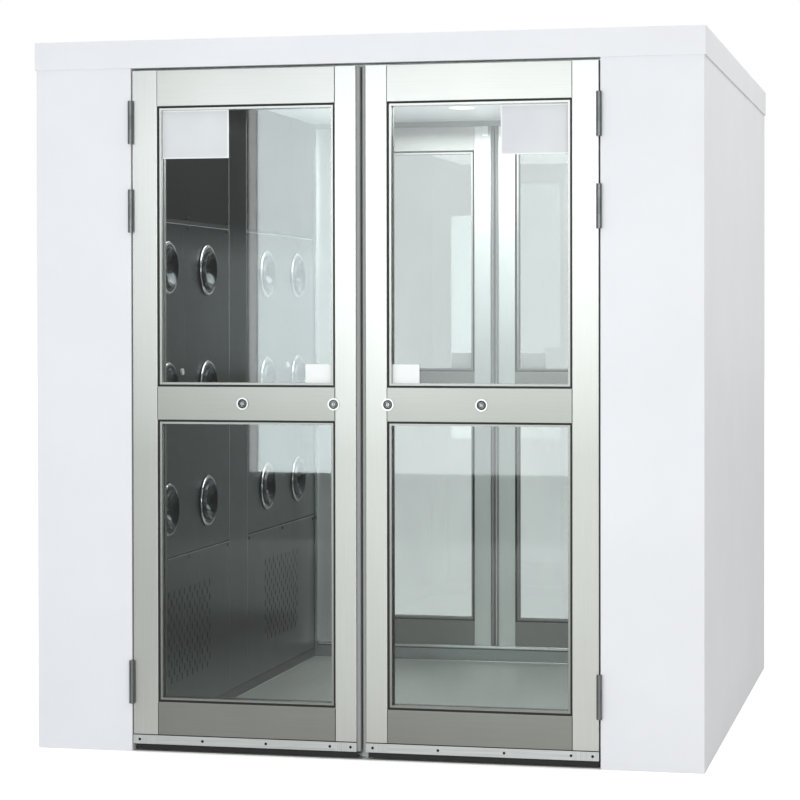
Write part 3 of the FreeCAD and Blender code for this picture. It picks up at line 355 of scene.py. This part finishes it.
def thin_white_vinyl(name):
    """White vinyl film that lets daylight through from behind."""
    material, tree = empty_material(name)
    cloud = shades(tree, noise(tree, place(tree), 6, 2), (0.3, "f2f3f3"), (0.7, "fafafa"))
    face = add(tree, "ShaderNodeBsdfDiffuse", {"Color": cloud})
    back = add(tree, "ShaderNodeBsdfTranslucent", {"Color": cloud})
    film = add(
        tree, "ShaderNodeMixShader", {0: FILM_CLEARNESS, 1: face.outputs[0], 2: back.outputs[0]}
    )
    add(tree, "ShaderNodeOutputMaterial", {"Surface": film.outputs[0]})
    return material


def zinc_spangle(name):
    """Galvanised sheet: flat crystals about 12 mm across, each in its own grey."""
    material, tree, shader = new_material(name, Metallic=0.85)
    cells = add(tree, "ShaderNodeTexVoronoi", {"Vector": place(tree), "Scale": 1 / (12 * MM)})
    grey = add(tree, "ShaderNodeSeparateColor", {0: cells.outputs["Color"]}).outputs[0]
    tree.links.new(shades(tree, grey, (0.0, "a3a7a9"), (1.0, "c4c8ca")), shader.inputs["Base Color"])
    tree.links.new(spread(tree, grey, 0.35, 0.5), shader.inputs["Roughness"])
    return material


def opal_lens(name):
    """Opal acrylic lamp face with a soft, nearly even glow."""
    material, tree, shader = new_material(name, Roughness=0.35, IOR=1.49)
    glow = noise(tree, place(tree), 30, 1)
    tree.links.new(shades(tree, glow, (0.3, "f6f5ef"), (0.7, "fbfaf6")), shader.inputs["Base Color"])
    shader.inputs["Emission Color"].default_value = linear("fff8ea")
    shader.inputs["Emission Strength"].default_value = 0.8
    return material


white_paint = powder_coat("white_powder_coat", "e8e9ed", "ecedf1")
# The wall sheet's dark base colour is painted shade of the dim cabin, and its stops by height paint it
# darker towards the head
sheet_stainless = brushed_metal(
    "brushed_stainless_sheet",
    "z",
    "474d4d",
    "596060",
    0.24,
    0.34,
    painted_shade_heights=((0.1, "f0f0f0"), (0.26, "f4f4f4"), (0.5, "ffffff"), (0.7, "dcdcdc"), (0.76, "5f5f5f")),
)
floor_stainless = floor_plate_metal("brushed_stainless_floor")
kerb_stainless = brushed_metal("brushed_stainless_kerb", "y", "8f9392", "a7aaa8", 0.26, 0.38)
leaf_metal = leaf_stainless("brushed_stainless_section")
bright_metal = brushed_metal("polished_stainless", "z", "d2d4d4", "e4e6e6", 0.1, 0.2, 1.5, 60)
# The rings: a painted highlight band from 75 to 80 mm between black painted shadow lines at 72 and 82
# mm, painted shade inside
ring_metal = spun_metal(
    "polished_stainless_ring",
    0.08,
    0.16,
    (66, "3a3d3e"),
    (72, "17191a"),
    (75, "e2e4e4"),
    (80, "eceeee"),
    (82, "3c3f40"),
)
# The bowls are painted dark as the shade inside them
ball_metal = spun_metal(
    "spun_aluminium_bowl", 0.14, 0.24, (20, "3e4243"), (40, "5d6163"), (66, "4a4e50")
)
glass = toughened_glass("clear_toughened_glass", "e7eaea", "ebeeed")
seal_rubber = leaf_rubber("epdm_rubber_seal")
edge_highlight_metal = brushed_metal("bright_edge_highlight", "z", "a4a8a8", "b8bcbc", 0.14, 0.24, 1.5, 60)
hinge_metal = brushed_metal("satin_stainless_hinge", "z", "6a6d6e", "7c7f80", 0.3, 0.42, 1.5, 60)
sealant = plain_matt("black_silicone", "040405", "0a0a0b", 0.6, 0.8)
chrome = brushed_metal("satin_chrome", "y", "8e9293", "a2a6a7", 0.28, 0.38, 2, 2)
sensor_white = plain_matt("moulded_white_abs", "e8e9e8", "f1f2f1", 0.25, 0.4, IOR=1.53)
lamp = opal_lens("opal_acrylic")
paper = plain_matt("glass_fibre_paper", "e2e0d6", "efede5", 0.8, 0.95, 0.8, 0.1)
cloth = plain_matt("black_nylon_filter_mesh", "0c0d0e", "151718", 0.7, 0.9, 3.0, 1.0)
zinc = zinc_spangle("galvanised_steel")
cast = plain_matt("cast_aluminium", "a6a8a9", "b9bbbc", 0.4, 0.55, 1.0, 0.08, Metallic=1.0)
grey_enamel = powder_coat("grey_enamel", "9b9d9f", "a8aaac")
bare_plate = plain_matt("bare_pale_vinyl", "d6d8dd", "dee2e4", 0.3, 0.42, 4.0, 0.02, IOR=1.5)
plate_border = plain_matt("white_vinyl_edge", "eef0f1", "f6f7f7", 0.25, 0.35, 4.0, 0.02, IOR=1.5)
thin_vinyl = thin_white_vinyl("white_vinyl_film")
black_steel = plain_matt("black_oxide_steel", "121314", "1d1e20", 0.35, 0.5, Metallic=0.6)
gloss_black = plain_matt("black_acetal", "0a0a0b", "141415", 0.12, 0.2, IOR=1.48)


def finish_of(name):
    """The finish of a carried-over node, by its name."""
    rules = (
        ("_casing", white_paint),
        ("roof_cap", white_paint),
        ("ceiling_panel", white_paint),
        ("_wall_panels", sheet_stainless),
        ("return_grilles", sheet_stainless),
        ("floor_tray", floor_stainless),
        ("door_stops", kerb_stainless),
        ("nozzle_rings", ring_metal),
        ("_nozzle_c", ball_metal),
        ("_leaf_frame", leaf_metal),
        ("_leaf_glass", glass),
        ("_leaf_seals", seal_rubber),
        ("_lock_plug", chrome),
        ("hinge_jamb_halves", hinge_metal),
        ("door_magnets", bright_metal),
        ("presence_sensors", sensor_white),
        ("downlights", lamp),
        ("hepa_filters", paper),
        ("prefilters", cloth),
        ("fan_housings", zinc),
        ("_impeller", cast),
        ("control_box", grey_enamel),
    )
    return next(material for part, material in rules if part in name)


for name, piece in nodes.items():
    piece.data.materials.clear()
    piece.data.materials.append(finish_of(name))


# ---- piece tools
def keep(piece, body, slot_name, *materials):
    """Gives a finished piece its finish and ties it to its body."""
    if materials:
        piece.data.materials.clear()
        for material in materials:
            piece.data.materials.append(material)
    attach(piece, body)
    return piece


def mesh_piece(name, shape):
    """A plain mesh object at the origin from a bmesh."""
    bmesh.ops.remove_doubles(shape, verts=shape.verts, dist=1e-6)
    bmesh.ops.recalc_face_normals(shape, faces=shape.faces)
    data = bpy.data.meshes.new(name)
    shape.to_mesh(data)
    shape.free()
    piece = bpy.data.objects.new(name, data)
    bpy.context.collection.objects.link(piece)
    return piece


def settle(piece):
    """Turns a piece's modifiers into plain mesh and takes them off."""
    graph = bpy.context.evaluated_depsgraph_get()
    graph.update()
    data = bpy.data.meshes.new_from_object(piece.evaluated_get(graph))
    piece.modifiers.clear()
    piece.data = data
    return piece


def slab(shape, low, high, round_mm=0.0, soften_mm=0.0):
    """Adds one block between two corners in mm, rounded as seen along Y and softened."""
    made = bmesh.ops.create_cube(shape, size=1)["verts"]
    middle = (Vector(low) + Vector(high)) / 2 * MM
    size = (Vector(high) - Vector(low)) * MM
    matrix = Matrix.Translation(middle) @ Matrix.Diagonal((*[abs(c) for c in size], 1))
    bmesh.ops.transform(shape, verts=made, matrix=matrix)
    if round_mm:
        edges = {e for v in made for e in v.link_edges}
        reach = 0.9 * abs(size.y)
        along_y = [e for e in edges if abs((e.verts[1].co - e.verts[0].co).y) > reach]
        done = bmesh.ops.bevel(
            shape, geom=along_y, offset=round_mm * MM, segments=4, profile=0.5, affect="EDGES"
        )
        made = list({v for f in done["faces"] for v in f.verts} | {v for v in made if v.is_valid})
    if soften_mm:
        edges = {e for v in made if v.is_valid for e in v.link_edges if e.calc_face_angle(0) > 0.9}
        bmesh.ops.bevel(
            shape, geom=list(edges), offset=soften_mm * MM, segments=2, profile=0.5, affect="EDGES"
        )


def loop_of(shape, count, point):
    """A closed loop of vertices: point gives each one's place from its cosine and sine."""
    angles = [2 * math.pi * i / count for i in range(count)]
    return [shape.verts.new(point(math.cos(angle), math.sin(angle))) for angle in angles]


def bridge(shape, lower, upper):
    """A band of faces between two loops of the same count."""
    for i in range(len(lower)):
        j = (i + 1) % len(lower)
        shape.faces.new((lower[i], lower[j], upper[j], upper[i]))


# ---- repeated fasteners
def pan_head():
    """A cross-recessed pan head of unit radius along +Z, its rim rolled and its recess sunk."""
    rounds = ((1.0, 0.0), (1.0, 0.22), (0.93, 0.4), (0.75, 0.52), (0.46, 0.6), (0.3, 0.6))
    count = 24
    shape = bmesh.new()
    loops = [loop_of(shape, count, lambda c, s: (r * c, r * s, h)) for r, h in rounds]
    for lower, upper in zip(loops, loops[1:]):
        bridge(shape, lower, upper)
    inner = loops[-1]
    recess = []
    for i in range(count):
        arm = abs(math.cos(2 * (2 * math.pi * i / count))) ** 6
        deep = 0.6 - 0.34 * arm
        recess.append(shape.verts.new((inner[i].co.x * 0.6, inner[i].co.y * 0.6, deep)))
    bridge(shape, inner, recess)
    shape.faces.new(recess)
    shape.faces.new(list(reversed(loops[0])))
    piece = mesh_piece("pan_head_pattern", shape)
    for face in piece.data.polygons:
        face.use_smooth = True
    return piece


def screw_row_tree():
    """Geometry Nodes: heads along a row of points, made real."""
    tree = bpy.data.node_groups.new("screw_row", "GeometryNodeTree")
    face = tree.interface
    face.new_socket("Geometry", in_out="INPUT", socket_type="NodeSocketGeometry")
    for word, kind in (
        ("Head", "NodeSocketObject"),
        ("Finish", "NodeSocketMaterial"),
        ("Start", "NodeSocketVector"),
        ("Step", "NodeSocketVector"),
        ("Count", "NodeSocketInt"),
        ("Facing", "NodeSocketVector"),
        ("Radius", "NodeSocketFloat"),
    ):
        face.new_socket(word, in_out="INPUT", socket_type=kind)
    face.new_socket("Geometry", in_out="OUTPUT", socket_type="NodeSocketGeometry")
    given = add(tree, "NodeGroupInput").outputs
    points = add(
        tree,
        "GeometryNodeMeshLine",
        {"Count": given["Count"], "Start Location": given["Start"], "Offset": given["Step"]},
        mode="OFFSET",
        count_mode="TOTAL",
    )
    head = add(tree, "GeometryNodeObjectInfo", {"Object": given["Head"]})
    turn = add(tree, "FunctionNodeAlignRotationToVector", {"Vector": given["Facing"]}, axis="Z")
    radius = given["Radius"]
    size = add(tree, "ShaderNodeCombineXYZ", {0: radius, 1: radius, 2: radius})
    heads = add(
        tree,
        "GeometryNodeInstanceOnPoints",
        {
            "Points": points.outputs[0],
            "Instance": head.outputs["Geometry"],
            "Rotation": turn.outputs[0],
            "Scale": size.outputs[0],
        },
    )
    real = add(tree, "GeometryNodeRealizeInstances", {"Geometry": heads.outputs[0]})
    done = add(
        tree, "GeometryNodeSetMaterial", {"Geometry": real.outputs[0], "Material": given["Finish"]}
    )
    add(tree, "NodeGroupOutput", {0: done.outputs[0]})
    return tree


HEAD = pan_head()
SCREW_ROW = screw_row_tree()


def screws(name, body, start, facing, radius, step, count):
    """A row of black steel screw heads on a body, in mm."""
    holder = bpy.data.objects.new(name, bpy.data.meshes.new(name))
    bpy.context.collection.objects.link(holder)
    modifier = holder.modifiers.new("screws", "NODES")
    modifier.node_group = SCREW_ROW
    values = {
        "Head": HEAD,
        "Finish": black_steel,
        "Start": [c * MM for c in start],
        "Step": [c * MM for c in step],
        "Count": count,
        "Facing": [float(c) for c in facing],
        "Radius": radius * MM,
    }
    for item in SCREW_ROW.interface.items_tree:
        if item.in_out == "INPUT" and item.name in values:
            modifier[item.identifier] = values[item.name]
    settle(holder)
    keep(holder, body, "brushed_stainless")


# ---- door leaves: strip screws, joint lines, a painted shadow line and bare plates
STRIP_SCREWS = (("strip", 20, 4), ("strip_end", 664, 1))
STRIP_SCREW_STEP = 194
STRIP_SCREW_HEIGHT = 37
STRIP_SCREW_RADIUS = 4
# A joint line between stile and rail: half its width, and its root under the leaf's face
JOINT_HALF = 0.8
JOINT_ROOT = BODY_HALF - 0.5
for end, sy in ENDS.items():
    for side, sx in SIDES.items():
        body = f"{end}_{side}_leaf"
        # The strip's holes are drilled from the end at the viewer's left
        left_end = min(-sx * sy * edge for edge in LEAF_EDGES)
        for label, offset, count in STRIP_SCREWS:
            screws(
                f"{body}_{label}_screws",
                body,
                (-sy * (left_end + offset), sy * STRIP_FACE, STRIP_SCREW_HEIGHT),
                (0, sy, 0),
                STRIP_SCREW_RADIUS,
                (-sy * STRIP_SCREW_STEP, 0, 0),
                count,
            )
        lines = bmesh.new()
        low_y, high_y = sorted((sy * JOINT_ROOT, sy * (BODY_HALF + 0.3)))
        for low_z, high_z in RAILS:
            for x in STILE_EDGES:
                low_x, high_x = sx * x - JOINT_HALF, sx * x + JOINT_HALF
                slab(lines, (low_x, low_y, low_z + 2), (high_x, high_y, high_z - 2))
        # A black line along the top edge of the foot strip: painted shadow
        low_y, high_y = sorted((sy * JOINT_ROOT, sy * (BODY_HALF + 1.2)))
        low_x, high_x = sorted(sx * edge for edge in LEAF_EDGES)
        leaf_foot = RAILS[0][0]
        slab(lines, (low_x, low_y, leaf_foot), (high_x, high_y, leaf_foot + 2.4))
        keep(mesh_piece(f"{body}_joint_lines", lines), body, "black_rubber", sealant)


def turned_ring(shape, centre, radii, y_pair, segments=48):
    """Adds a ring about the Y axis in mm: a rounded lip between two radii, from one y to another."""
    inner, outer = radii
    low, high = y_pair
    soft = (outer - inner) * 0.2
    tip = low + (high - low) * 0.75
    lip = ((inner + soft, high), (outer - soft, high))
    profile = ((inner, low), (inner, tip), *lip, (outer, tip), (outer, low))
    x, z = centre
    loops = [
        loop_of(shape, segments, lambda c, s: ((x + r * c) * MM, y * MM, (z + r * s) * MM))
        for r, y in profile
    ]
    for lower, upper in zip(loops, loops[1:] + loops[:1]):
        bridge(shape, lower, upper)


# The black shutter ring that fills the groove in each key cylinder's rosette, the lip on the
# rosette's face and the rim on the plug: inner and outer radius in mm
SHUTTER_RADII = (10, 14)
LIP_RADII = (8.4, 13.2)
RIM_RADII = (5.2, 7.8)
for side, sx in SIDES.items():
    rings = bmesh.new()
    for offset in LOCK_OFFSETS.values():
        centre = (sx * offset, LOCK_HEIGHT)
        turned_ring(rings, centre, SHUTTER_RADII, (-(ROSETTE_FACE - 3), -(ROSETTE_FACE - 0.4)))
        turned_ring(rings, centre, LIP_RADII, (-ROSETTE_FACE, -(ROSETTE_FACE + 0.5)))
    leaf = f"front_{side}_leaf"
    keep(mesh_piece(f"front_{side}_lock_rings", rings), leaf, "black_rubber", gloss_black)
    for place_name, offset in LOCK_OFFSETS.items():
        rim = bmesh.new()
        centre = (sx * offset, LOCK_HEIGHT)
        turned_ring(rim, centre, RIM_RADII, (-PLUG_FACE, -(PLUG_FACE + 0.5)))
        plug = f"front_{side}_{place_name}_lock_plug"
        keep(mesh_piece(plug + "_rim", rim), plug, "black_rubber", gloss_black)


PLATE_THICK = 0.8
BORDER_THICK = 0.4
PLATE_ROUND = 3


def plate(name, body, x_pair, z_pair, face, border, finish):
    """A bare rounded plate on a pane's face towards the front, with a raised border if it has one."""
    (low_x, high_x), (foot, head) = x_pair, z_pair
    front = face - PLATE_THICK
    shape = bmesh.new()
    slab(shape, (low_x, front, foot), (high_x, face, head), PLATE_ROUND, 0.2)
    keep(mesh_piece(name, shape), body, "white_plastic", finish)
    if border:
        raised = face - (PLATE_THICK + BORDER_THICK)
        shape = bmesh.new()
        for z in (foot, head - border):
            slab(shape, (low_x, raised, z), (high_x, front, z + border), 0, 0.15)
        for x in (low_x, high_x - border):
            slab(shape, (x, raised, foot + border), (x + border, front, head - border), 0, 0.15)
        keep(mesh_piece(name + "_border", shape), body, "white_plastic", plate_border)


# Each plate: its leaf, its kind, x and z from and to, the pane's face, the border's width and the finish
PLATES = (
    ("front_left", "notice", (-609, -404), (1751, 1893), -GLASS_OUT, 4, bare_plate),
    ("front_right", "notice", (410, 609), (1748, 1891), -GLASS_OUT, 4, bare_plate),
    ("front_left", "small", (-172, -86), (1090, 1147), -GLASS_OUT, 0, plate_border),
    ("front_right", "small", (86, 170), (1090, 1147), -GLASS_OUT, 0, plate_border),
    ("rear_left", "small", (-168, -86), (1090, 1150), GLASS_IN, 0, thin_vinyl),
    ("rear_right", "small", (98, 190), (1090, 1150), GLASS_IN, 0, thin_vinyl),
)
for leaf, kind, x_pair, z_pair, face, border, finish in PLATES:
    plate(f"{leaf}_{kind}_plate", f"{leaf}_leaf", x_pair, z_pair, face, border, finish)

# ---- walls: dark seam strips of sealant and painted shade, bright strips of painted highlight and panel screws
PANEL_SCREWS = (
    ("upper", NOZZLE_SEAM + 14),
    ("lower", NOZZLE_SEAM - 16),
    ("return", RETURN_SEAM - 14),
)
PANEL_SCREW_FIRST = 118
PANEL_SCREW_STEP = 394
PANEL_SCREW_RADIUS = 5.5
SEAM_BACK = 700
SEAM_END = STOP_BACK - 0.5
# Each seam's middle height with half the height of its bead of black sealant, drawn wide as painted
# shade along the seam
SEAM_BEADS = ((RETURN_SEAM, 2.4), (NOZZLE_SEAM, 5))
# Each bright edge strip's height, from and to, below its seam: painted highlights of the panels' hems
SEAM_HIGHLIGHTS = (
    (RETURN_SEAM - 4.6, RETURN_SEAM - 2.6),
    (NOZZLE_SEAM - 7.6, NOZZLE_SEAM - 5.2),
)
for side, sx in SIDES.items():
    seam = bmesh.new()
    near, far = sorted((sx * SEAM_BACK, sx * (WALL_FACE + 0.9)))
    bead_near, bead_far = sorted((sx * SEAM_BACK, sx * (WALL_FACE - 1.2)))
    for sy in ENDS.values():
        low_y, high_y = sorted((sy * MODULE_LOW, sy * MODULE_HIGH))
        for z, half in SEAM_BEADS:
            slab(seam, (bead_near, low_y, z - half), (bead_far, high_y, z + half), 0, 0.5)
        # Black strips in the gaps at the module edges: painted shade in the gaps
        for edge in (MODULE_LOW - 2, MODULE_HIGH):
            low_y, high_y = sorted((sy * edge, sy * (edge + 2)))
            slab(seam, (near, low_y, PANEL_FOOT), (far, high_y, PANEL_HEAD))
    # A black strip along the wall's foot: painted shade in the gap
    slab(seam, (near, -SEAM_END, PANEL_FOOT - 2), (far, SEAM_END, PANEL_FOOT))
    keep(mesh_piece(f"{side}_wall_seams", seam), "cabin", "black_rubber", sealant)
    # Bright strips below the seams and down the module edges: painted highlights of the panels' hems
    trim = bmesh.new()
    near, far = sorted((sx * (WALL_FACE + 0.1), sx * (WALL_FACE - 0.6)))
    for sy in ENDS.values():
        low_y, high_y = sorted((sy * MODULE_LOW, sy * MODULE_HIGH))
        for low_z, high_z in SEAM_HIGHLIGHTS:
            slab(trim, (near, low_y, low_z), (far, high_y, high_z), 0, 0.25)
        for edge in (MODULE_LOW - 5.5, MODULE_HIGH - 3):
            low_y, high_y = sorted((sy * edge, sy * (edge + 3)))
            slab(trim, (near, low_y, PANEL_FOOT), (far, high_y, PANEL_HEAD - 2), 0, 0.25)
    keep(mesh_piece(f"{side}_seam_trims", trim), "cabin", "polished_stainless", edge_highlight_metal)
    for end, sy in ENDS.items():
        for label, z in PANEL_SCREWS:
            screws(
                f"{side}_{end}_{label}_panel_screws",
                "cabin",
                (sx * WALL_FACE, sy * PANEL_SCREW_FIRST, z),
                (-sx, 0, 0),
                PANEL_SCREW_RADIUS,
                (0, sy * PANEL_SCREW_STEP, 0),
                3,
            )
bpy.data.objects.remove(HEAD)

# A black sheet close behind the slots of each return panel: painted shade in the slots
SLOT_SHADE_HALF = 212
SLOT_SHADE_FOOT = 135
SLOT_SHADE_HEAD = 440
SLOT_SHADE_BEHIND = (2.15, 2.75)
for side, sx in SIDES.items():
    shade_sheet = bmesh.new()
    low_x, high_x = sorted(sx * (WALL_FACE + depth) for depth in SLOT_SHADE_BEHIND)
    for sy in ENDS.values():
        low_y, high_y = sorted((sy * (SLOT_MIDDLE - SLOT_SHADE_HALF), sy * (SLOT_MIDDLE + SLOT_SHADE_HALF)))
        slab(shade_sheet, (low_x, low_y, SLOT_SHADE_FOOT), (high_x, high_y, SLOT_SHADE_HEAD))
    keep(mesh_piece(f"{side}_slot_gauze", shade_sheet), "cabin", "filter_cloth", cloth)

# ---- door stops, thresholds and floor plate: bright edges of painted highlight and dark joints, from and to in mm
STOP_EDGE_SIDE = (682.5, 688)
STOP_EDGE_HEIGHT = (61, 1990)
STOP_JOINT_SIDE = (690, 692.5)
STOP_JOINT_HEIGHT = (40, 2000)
FLOOR_BEAD_SIDE = (686.5, 689.5)
FLOOR_BEAD_HEIGHT = (3, 6.5)
FLOOR_BEAD_ENDS = 686
THRESHOLD_HALF = 681
THRESHOLD_JOINT_HEIGHT = (46.5, 49.5)
THRESHOLD_NOSE_HEIGHT = (52, 62.5)
# Bright strips on the stops' edges, the thresholds' noses and the floor's edges: painted highlights,
# rounded so that they also catch the lamps
edges = bmesh.new()
joints = bmesh.new()


def bar(shape, x_pair, y_pair, z_pair, soften_mm=0.0):
    """Adds a block from its extents in x, y and z in mm."""
    low, high = zip(sorted(x_pair), sorted(y_pair), sorted(z_pair))
    slab(shape, low, high, 0, soften_mm)


for sy in ENDS.values():
    face = (sy * STOP_BACK, sy * (STOP_BACK - 0.6))
    for sx in SIDES.values():
        bar(edges, [sx * x for x in STOP_EDGE_SIDE], face, STOP_EDGE_HEIGHT, 0.25)
        bar(joints, [sx * x for x in STOP_JOINT_SIDE], face, STOP_JOINT_HEIGHT)
        run = (-STOP_BACK + 6, STOP_BACK - 6)
        bar(edges, [sx * x for x in FLOOR_BEAD_SIDE], run, FLOOR_BEAD_HEIGHT, 1.2)
    across = (-THRESHOLD_HALF, THRESHOLD_HALF)
    bar(joints, across, face, THRESHOLD_JOINT_HEIGHT)
    nose = (sy * (STOP_BACK - 4), sy * (STOP_BACK + 4))
    bar(edges, across, nose, THRESHOLD_NOSE_HEIGHT, 3.0)
    bead = (sy * (STOP_BACK - 6), sy * (STOP_BACK - 1))
    bar(edges, (-FLOOR_BEAD_ENDS, FLOOR_BEAD_ENDS), bead, FLOOR_BEAD_HEIGHT, 1.2)
keep(mesh_piece("stop_edge_trims", edges), "cabin", "polished_stainless", bright_metal)
keep(mesh_piece("stop_joints", joints), "cabin", "black_rubber", sealant)


# ---- stage, light and camera
def seen_white(tree, *rays):
    """1 where a ray of one of these kinds looks at the surface, else 0."""
    path = add(tree, "ShaderNodeLightPath")
    seen = path.outputs[rays[0]]
    for ray in rays[1:]:
        seen = maths(tree, "MAXIMUM", seen, path.outputs[ray])
    return seen


# The floor in metres: its glow to the camera, the part of it that metal and glass mirror, and where
# they mirror less of it, because the real panes mirror a darker floor at the viewer's left
FLOOR_HALF = 40
FLOOR_DROP = -0.0005
FLOOR_GLOW = 0.66
FLOOR_MIRRORED = 0.2
FLOOR_DIMMED = 0.5
DIM_ACROSS = {"From Min": -0.6, "From Max": -1.2}
DIM_AHEAD = {"From Min": -1.2, "From Max": -2.2}
floor_shape = bmesh.new()
bmesh.ops.create_grid(floor_shape, x_segments=1, y_segments=1, size=FLOOR_HALF)
floor = mesh_piece("studio_floor", floor_shape)
floor_paint, tree = empty_material("pale_studio_floor")
matt = add(tree, "ShaderNodeBsdfDiffuse", {"Color": linear("cbcbc9")})
white = add(tree, "ShaderNodeEmission", {"Color": (1, 1, 1, 1), "Strength": FLOOR_GLOW})
both = add(tree, "ShaderNodeAddShader", {0: matt.outputs[0], 1: white.outputs[0]})
seen = seen_white(tree, "Is Camera Ray", "Is Transmission Ray")
mirrored = add(tree, "ShaderNodeLightPath").outputs["Is Glossy Ray"]
seen = maths(tree, "MAXIMUM", seen, maths(tree, "MULTIPLY", mirrored, FLOOR_MIRRORED))
ground = add(tree, "ShaderNodeMixShader", {0: seen, 1: matt.outputs[0], 2: both.outputs[0]})
spot = position(tree)
left = add(tree, "ShaderNodeMapRange", {"Value": spot[0], **DIM_ACROSS}).outputs[0]
ahead = add(tree, "ShaderNodeMapRange", {"Value": spot[1], **DIM_AHEAD}).outputs[0]
dim = maths(tree, "MULTIPLY", maths(tree, "MULTIPLY", left, ahead), mirrored)
dim = maths(tree, "MULTIPLY", dim, FLOOR_DIMMED)
dark = add(tree, "ShaderNodeBsdfDiffuse", {"Color": (0, 0, 0, 1)})
ground = add(tree, "ShaderNodeMixShader", {0: dim, 1: ground.outputs[0], 2: dark.outputs[0]})
add(tree, "ShaderNodeOutputMaterial", {"Surface": ground.outputs[0]})
floor.data.materials.append(floor_paint)
floor.location.z = FLOOR_DROP

# The room is white to the camera and through the glass. To all else it is a soft dome, brighter
# overhead and white behind the cabin
DOME = {"From Min": 0.0, "From Max": 0.8, "To Min": 0.34, "To Max": 0.9}
BEHIND = {"From Min": 0.6, "From Max": 0.95}
world = bpy.data.worlds.new("studio")
bpy.context.scene.world = world
world.use_nodes = True
tree = world.node_tree
tree.nodes.clear()
direction = add(tree, "ShaderNodeTexCoord").outputs["Generated"]
axes = add(tree, "ShaderNodeSeparateXYZ", {"Vector": direction}).outputs
strength = add(tree, "ShaderNodeMapRange", {"Value": axes[2], **DOME}).outputs[0]
behind = add(tree, "ShaderNodeMapRange", {"Value": axes[1], **BEHIND}).outputs[0]
seen = seen_white(tree, "Is Camera Ray", "Is Transmission Ray")
for whiter in (behind, seen):
    blend = {"Factor": whiter, 2: strength, 3: 1.0}
    strength = add(tree, "ShaderNodeMix", blend, data_type="FLOAT").outputs[0]
sky = add(tree, "ShaderNodeBackground", {"Color": (1, 1, 1, 1), "Strength": strength})
add(tree, "ShaderNodeOutputWorld", {"Surface": sky.outputs[0]})


def softbox(name, location, target, size, power, colour):
    """A rectangular area lamp that faces a point."""
    light = bpy.data.lights.new(name, "AREA")
    light.color = colour
    light.shape = "RECTANGLE"
    light.size, light.size_y = size
    light.energy = power
    holder = bpy.data.objects.new(name, light)
    bpy.context.collection.objects.link(holder)
    holder.location = location
    holder.rotation_euler = (Vector(target) - Vector(location)).to_track_quat("-Z", "Y").to_euler()
    return holder


# Each lamp: name, place, target, size, watts and colour. The first three are the pale bands that the
# real panes mirror
LAMPS = (
    ("pane_softbox", (-1.975, -7.4, 1.49), (-1.975, 0, 1.49), (0.71, 2.22), 39.5, (0.91, 1.0, 1.02)),
    ("band_softbox", (-2.36, -7.4, 1.49), (-2.36, 0, 1.49), (0.045, 2.22), 1.1, (1, 1, 1)),
    ("low_softbox", (-0.2, -7.4, 1.49), (-0.2, 0, 1.49), (2.8, 2.22), 60, (0.96, 1.0, 1.01)),
    ("right_band", (0.1, -7.4, 1.1), (0.1, 0, 1.1), (1.0, 0.8), 11, (1, 1, 1)),
    ("left_softbox", (-5.6, -6.5, 2.2), (0, -1, 1.0), (2.5, 2.5), 20, (1, 1, 1)),
    ("right_softbox", (4.5, -8.5, 1.4), (0, -1, 1.0), (2.5, 2.2), 125, (1, 1, 1)),
    ("side_softbox", (2.9, 0, 4.3), (1, 0, 1.2), (2.0, 2.0), 30, (1, 1, 1)),
)
# Soft glows under the ceiling stand for the cabin's own two lamps; the camera doesn't see them
GLOWS = (
    ("cabin_glow", (0, 0, 1.97), (0, 0, 0), (1.0, 1.5), 18, (1, 1, 1)),
    ("ceiling_wash", (0, 0, 1.6), (0, 0, 3), (0.9, 1.4), 6, (1, 1, 1)),
)
for settings in LAMPS:
    softbox(*settings)
for settings in GLOWS:
    softbox(*settings).visible_camera = False

# The camera as fitted to the photograph: picture side, focal length and principal point in pixels,
# place in metres and turns in degrees
PHOTO_SIDE = 800
PHOTO_FOCAL = 2294
PHOTO_CENTRE = (480, 342)
SENSOR_MM = 36
CAMERA_PLACE = (1.701, -7.417, 1.282)
CAMERA_PITCH = -0.61
CAMERA_ROLL = 0.06
CAMERA_TURN = 11.86
lens = bpy.data.cameras.new("photo_camera")
lens.sensor_width = SENSOR_MM
lens.lens = SENSOR_MM * PHOTO_FOCAL / PHOTO_SIDE
lens.shift_x = (PHOTO_SIDE / 2 - PHOTO_CENTRE[0]) / PHOTO_SIDE
lens.shift_y = (PHOTO_CENTRE[1] - PHOTO_SIDE / 2) / PHOTO_SIDE
lens.clip_end = 100
camera = bpy.data.objects.new("photo_camera", lens)
bpy.context.collection.objects.link(camera)
camera.location = CAMERA_PLACE
camera.rotation_euler = [math.radians(a) for a in (90 + CAMERA_PITCH, CAMERA_ROLL, CAMERA_TURN)]
bpy.context.scene.camera = camera
bpy.context.scene.view_settings.view_transform = "Standard"
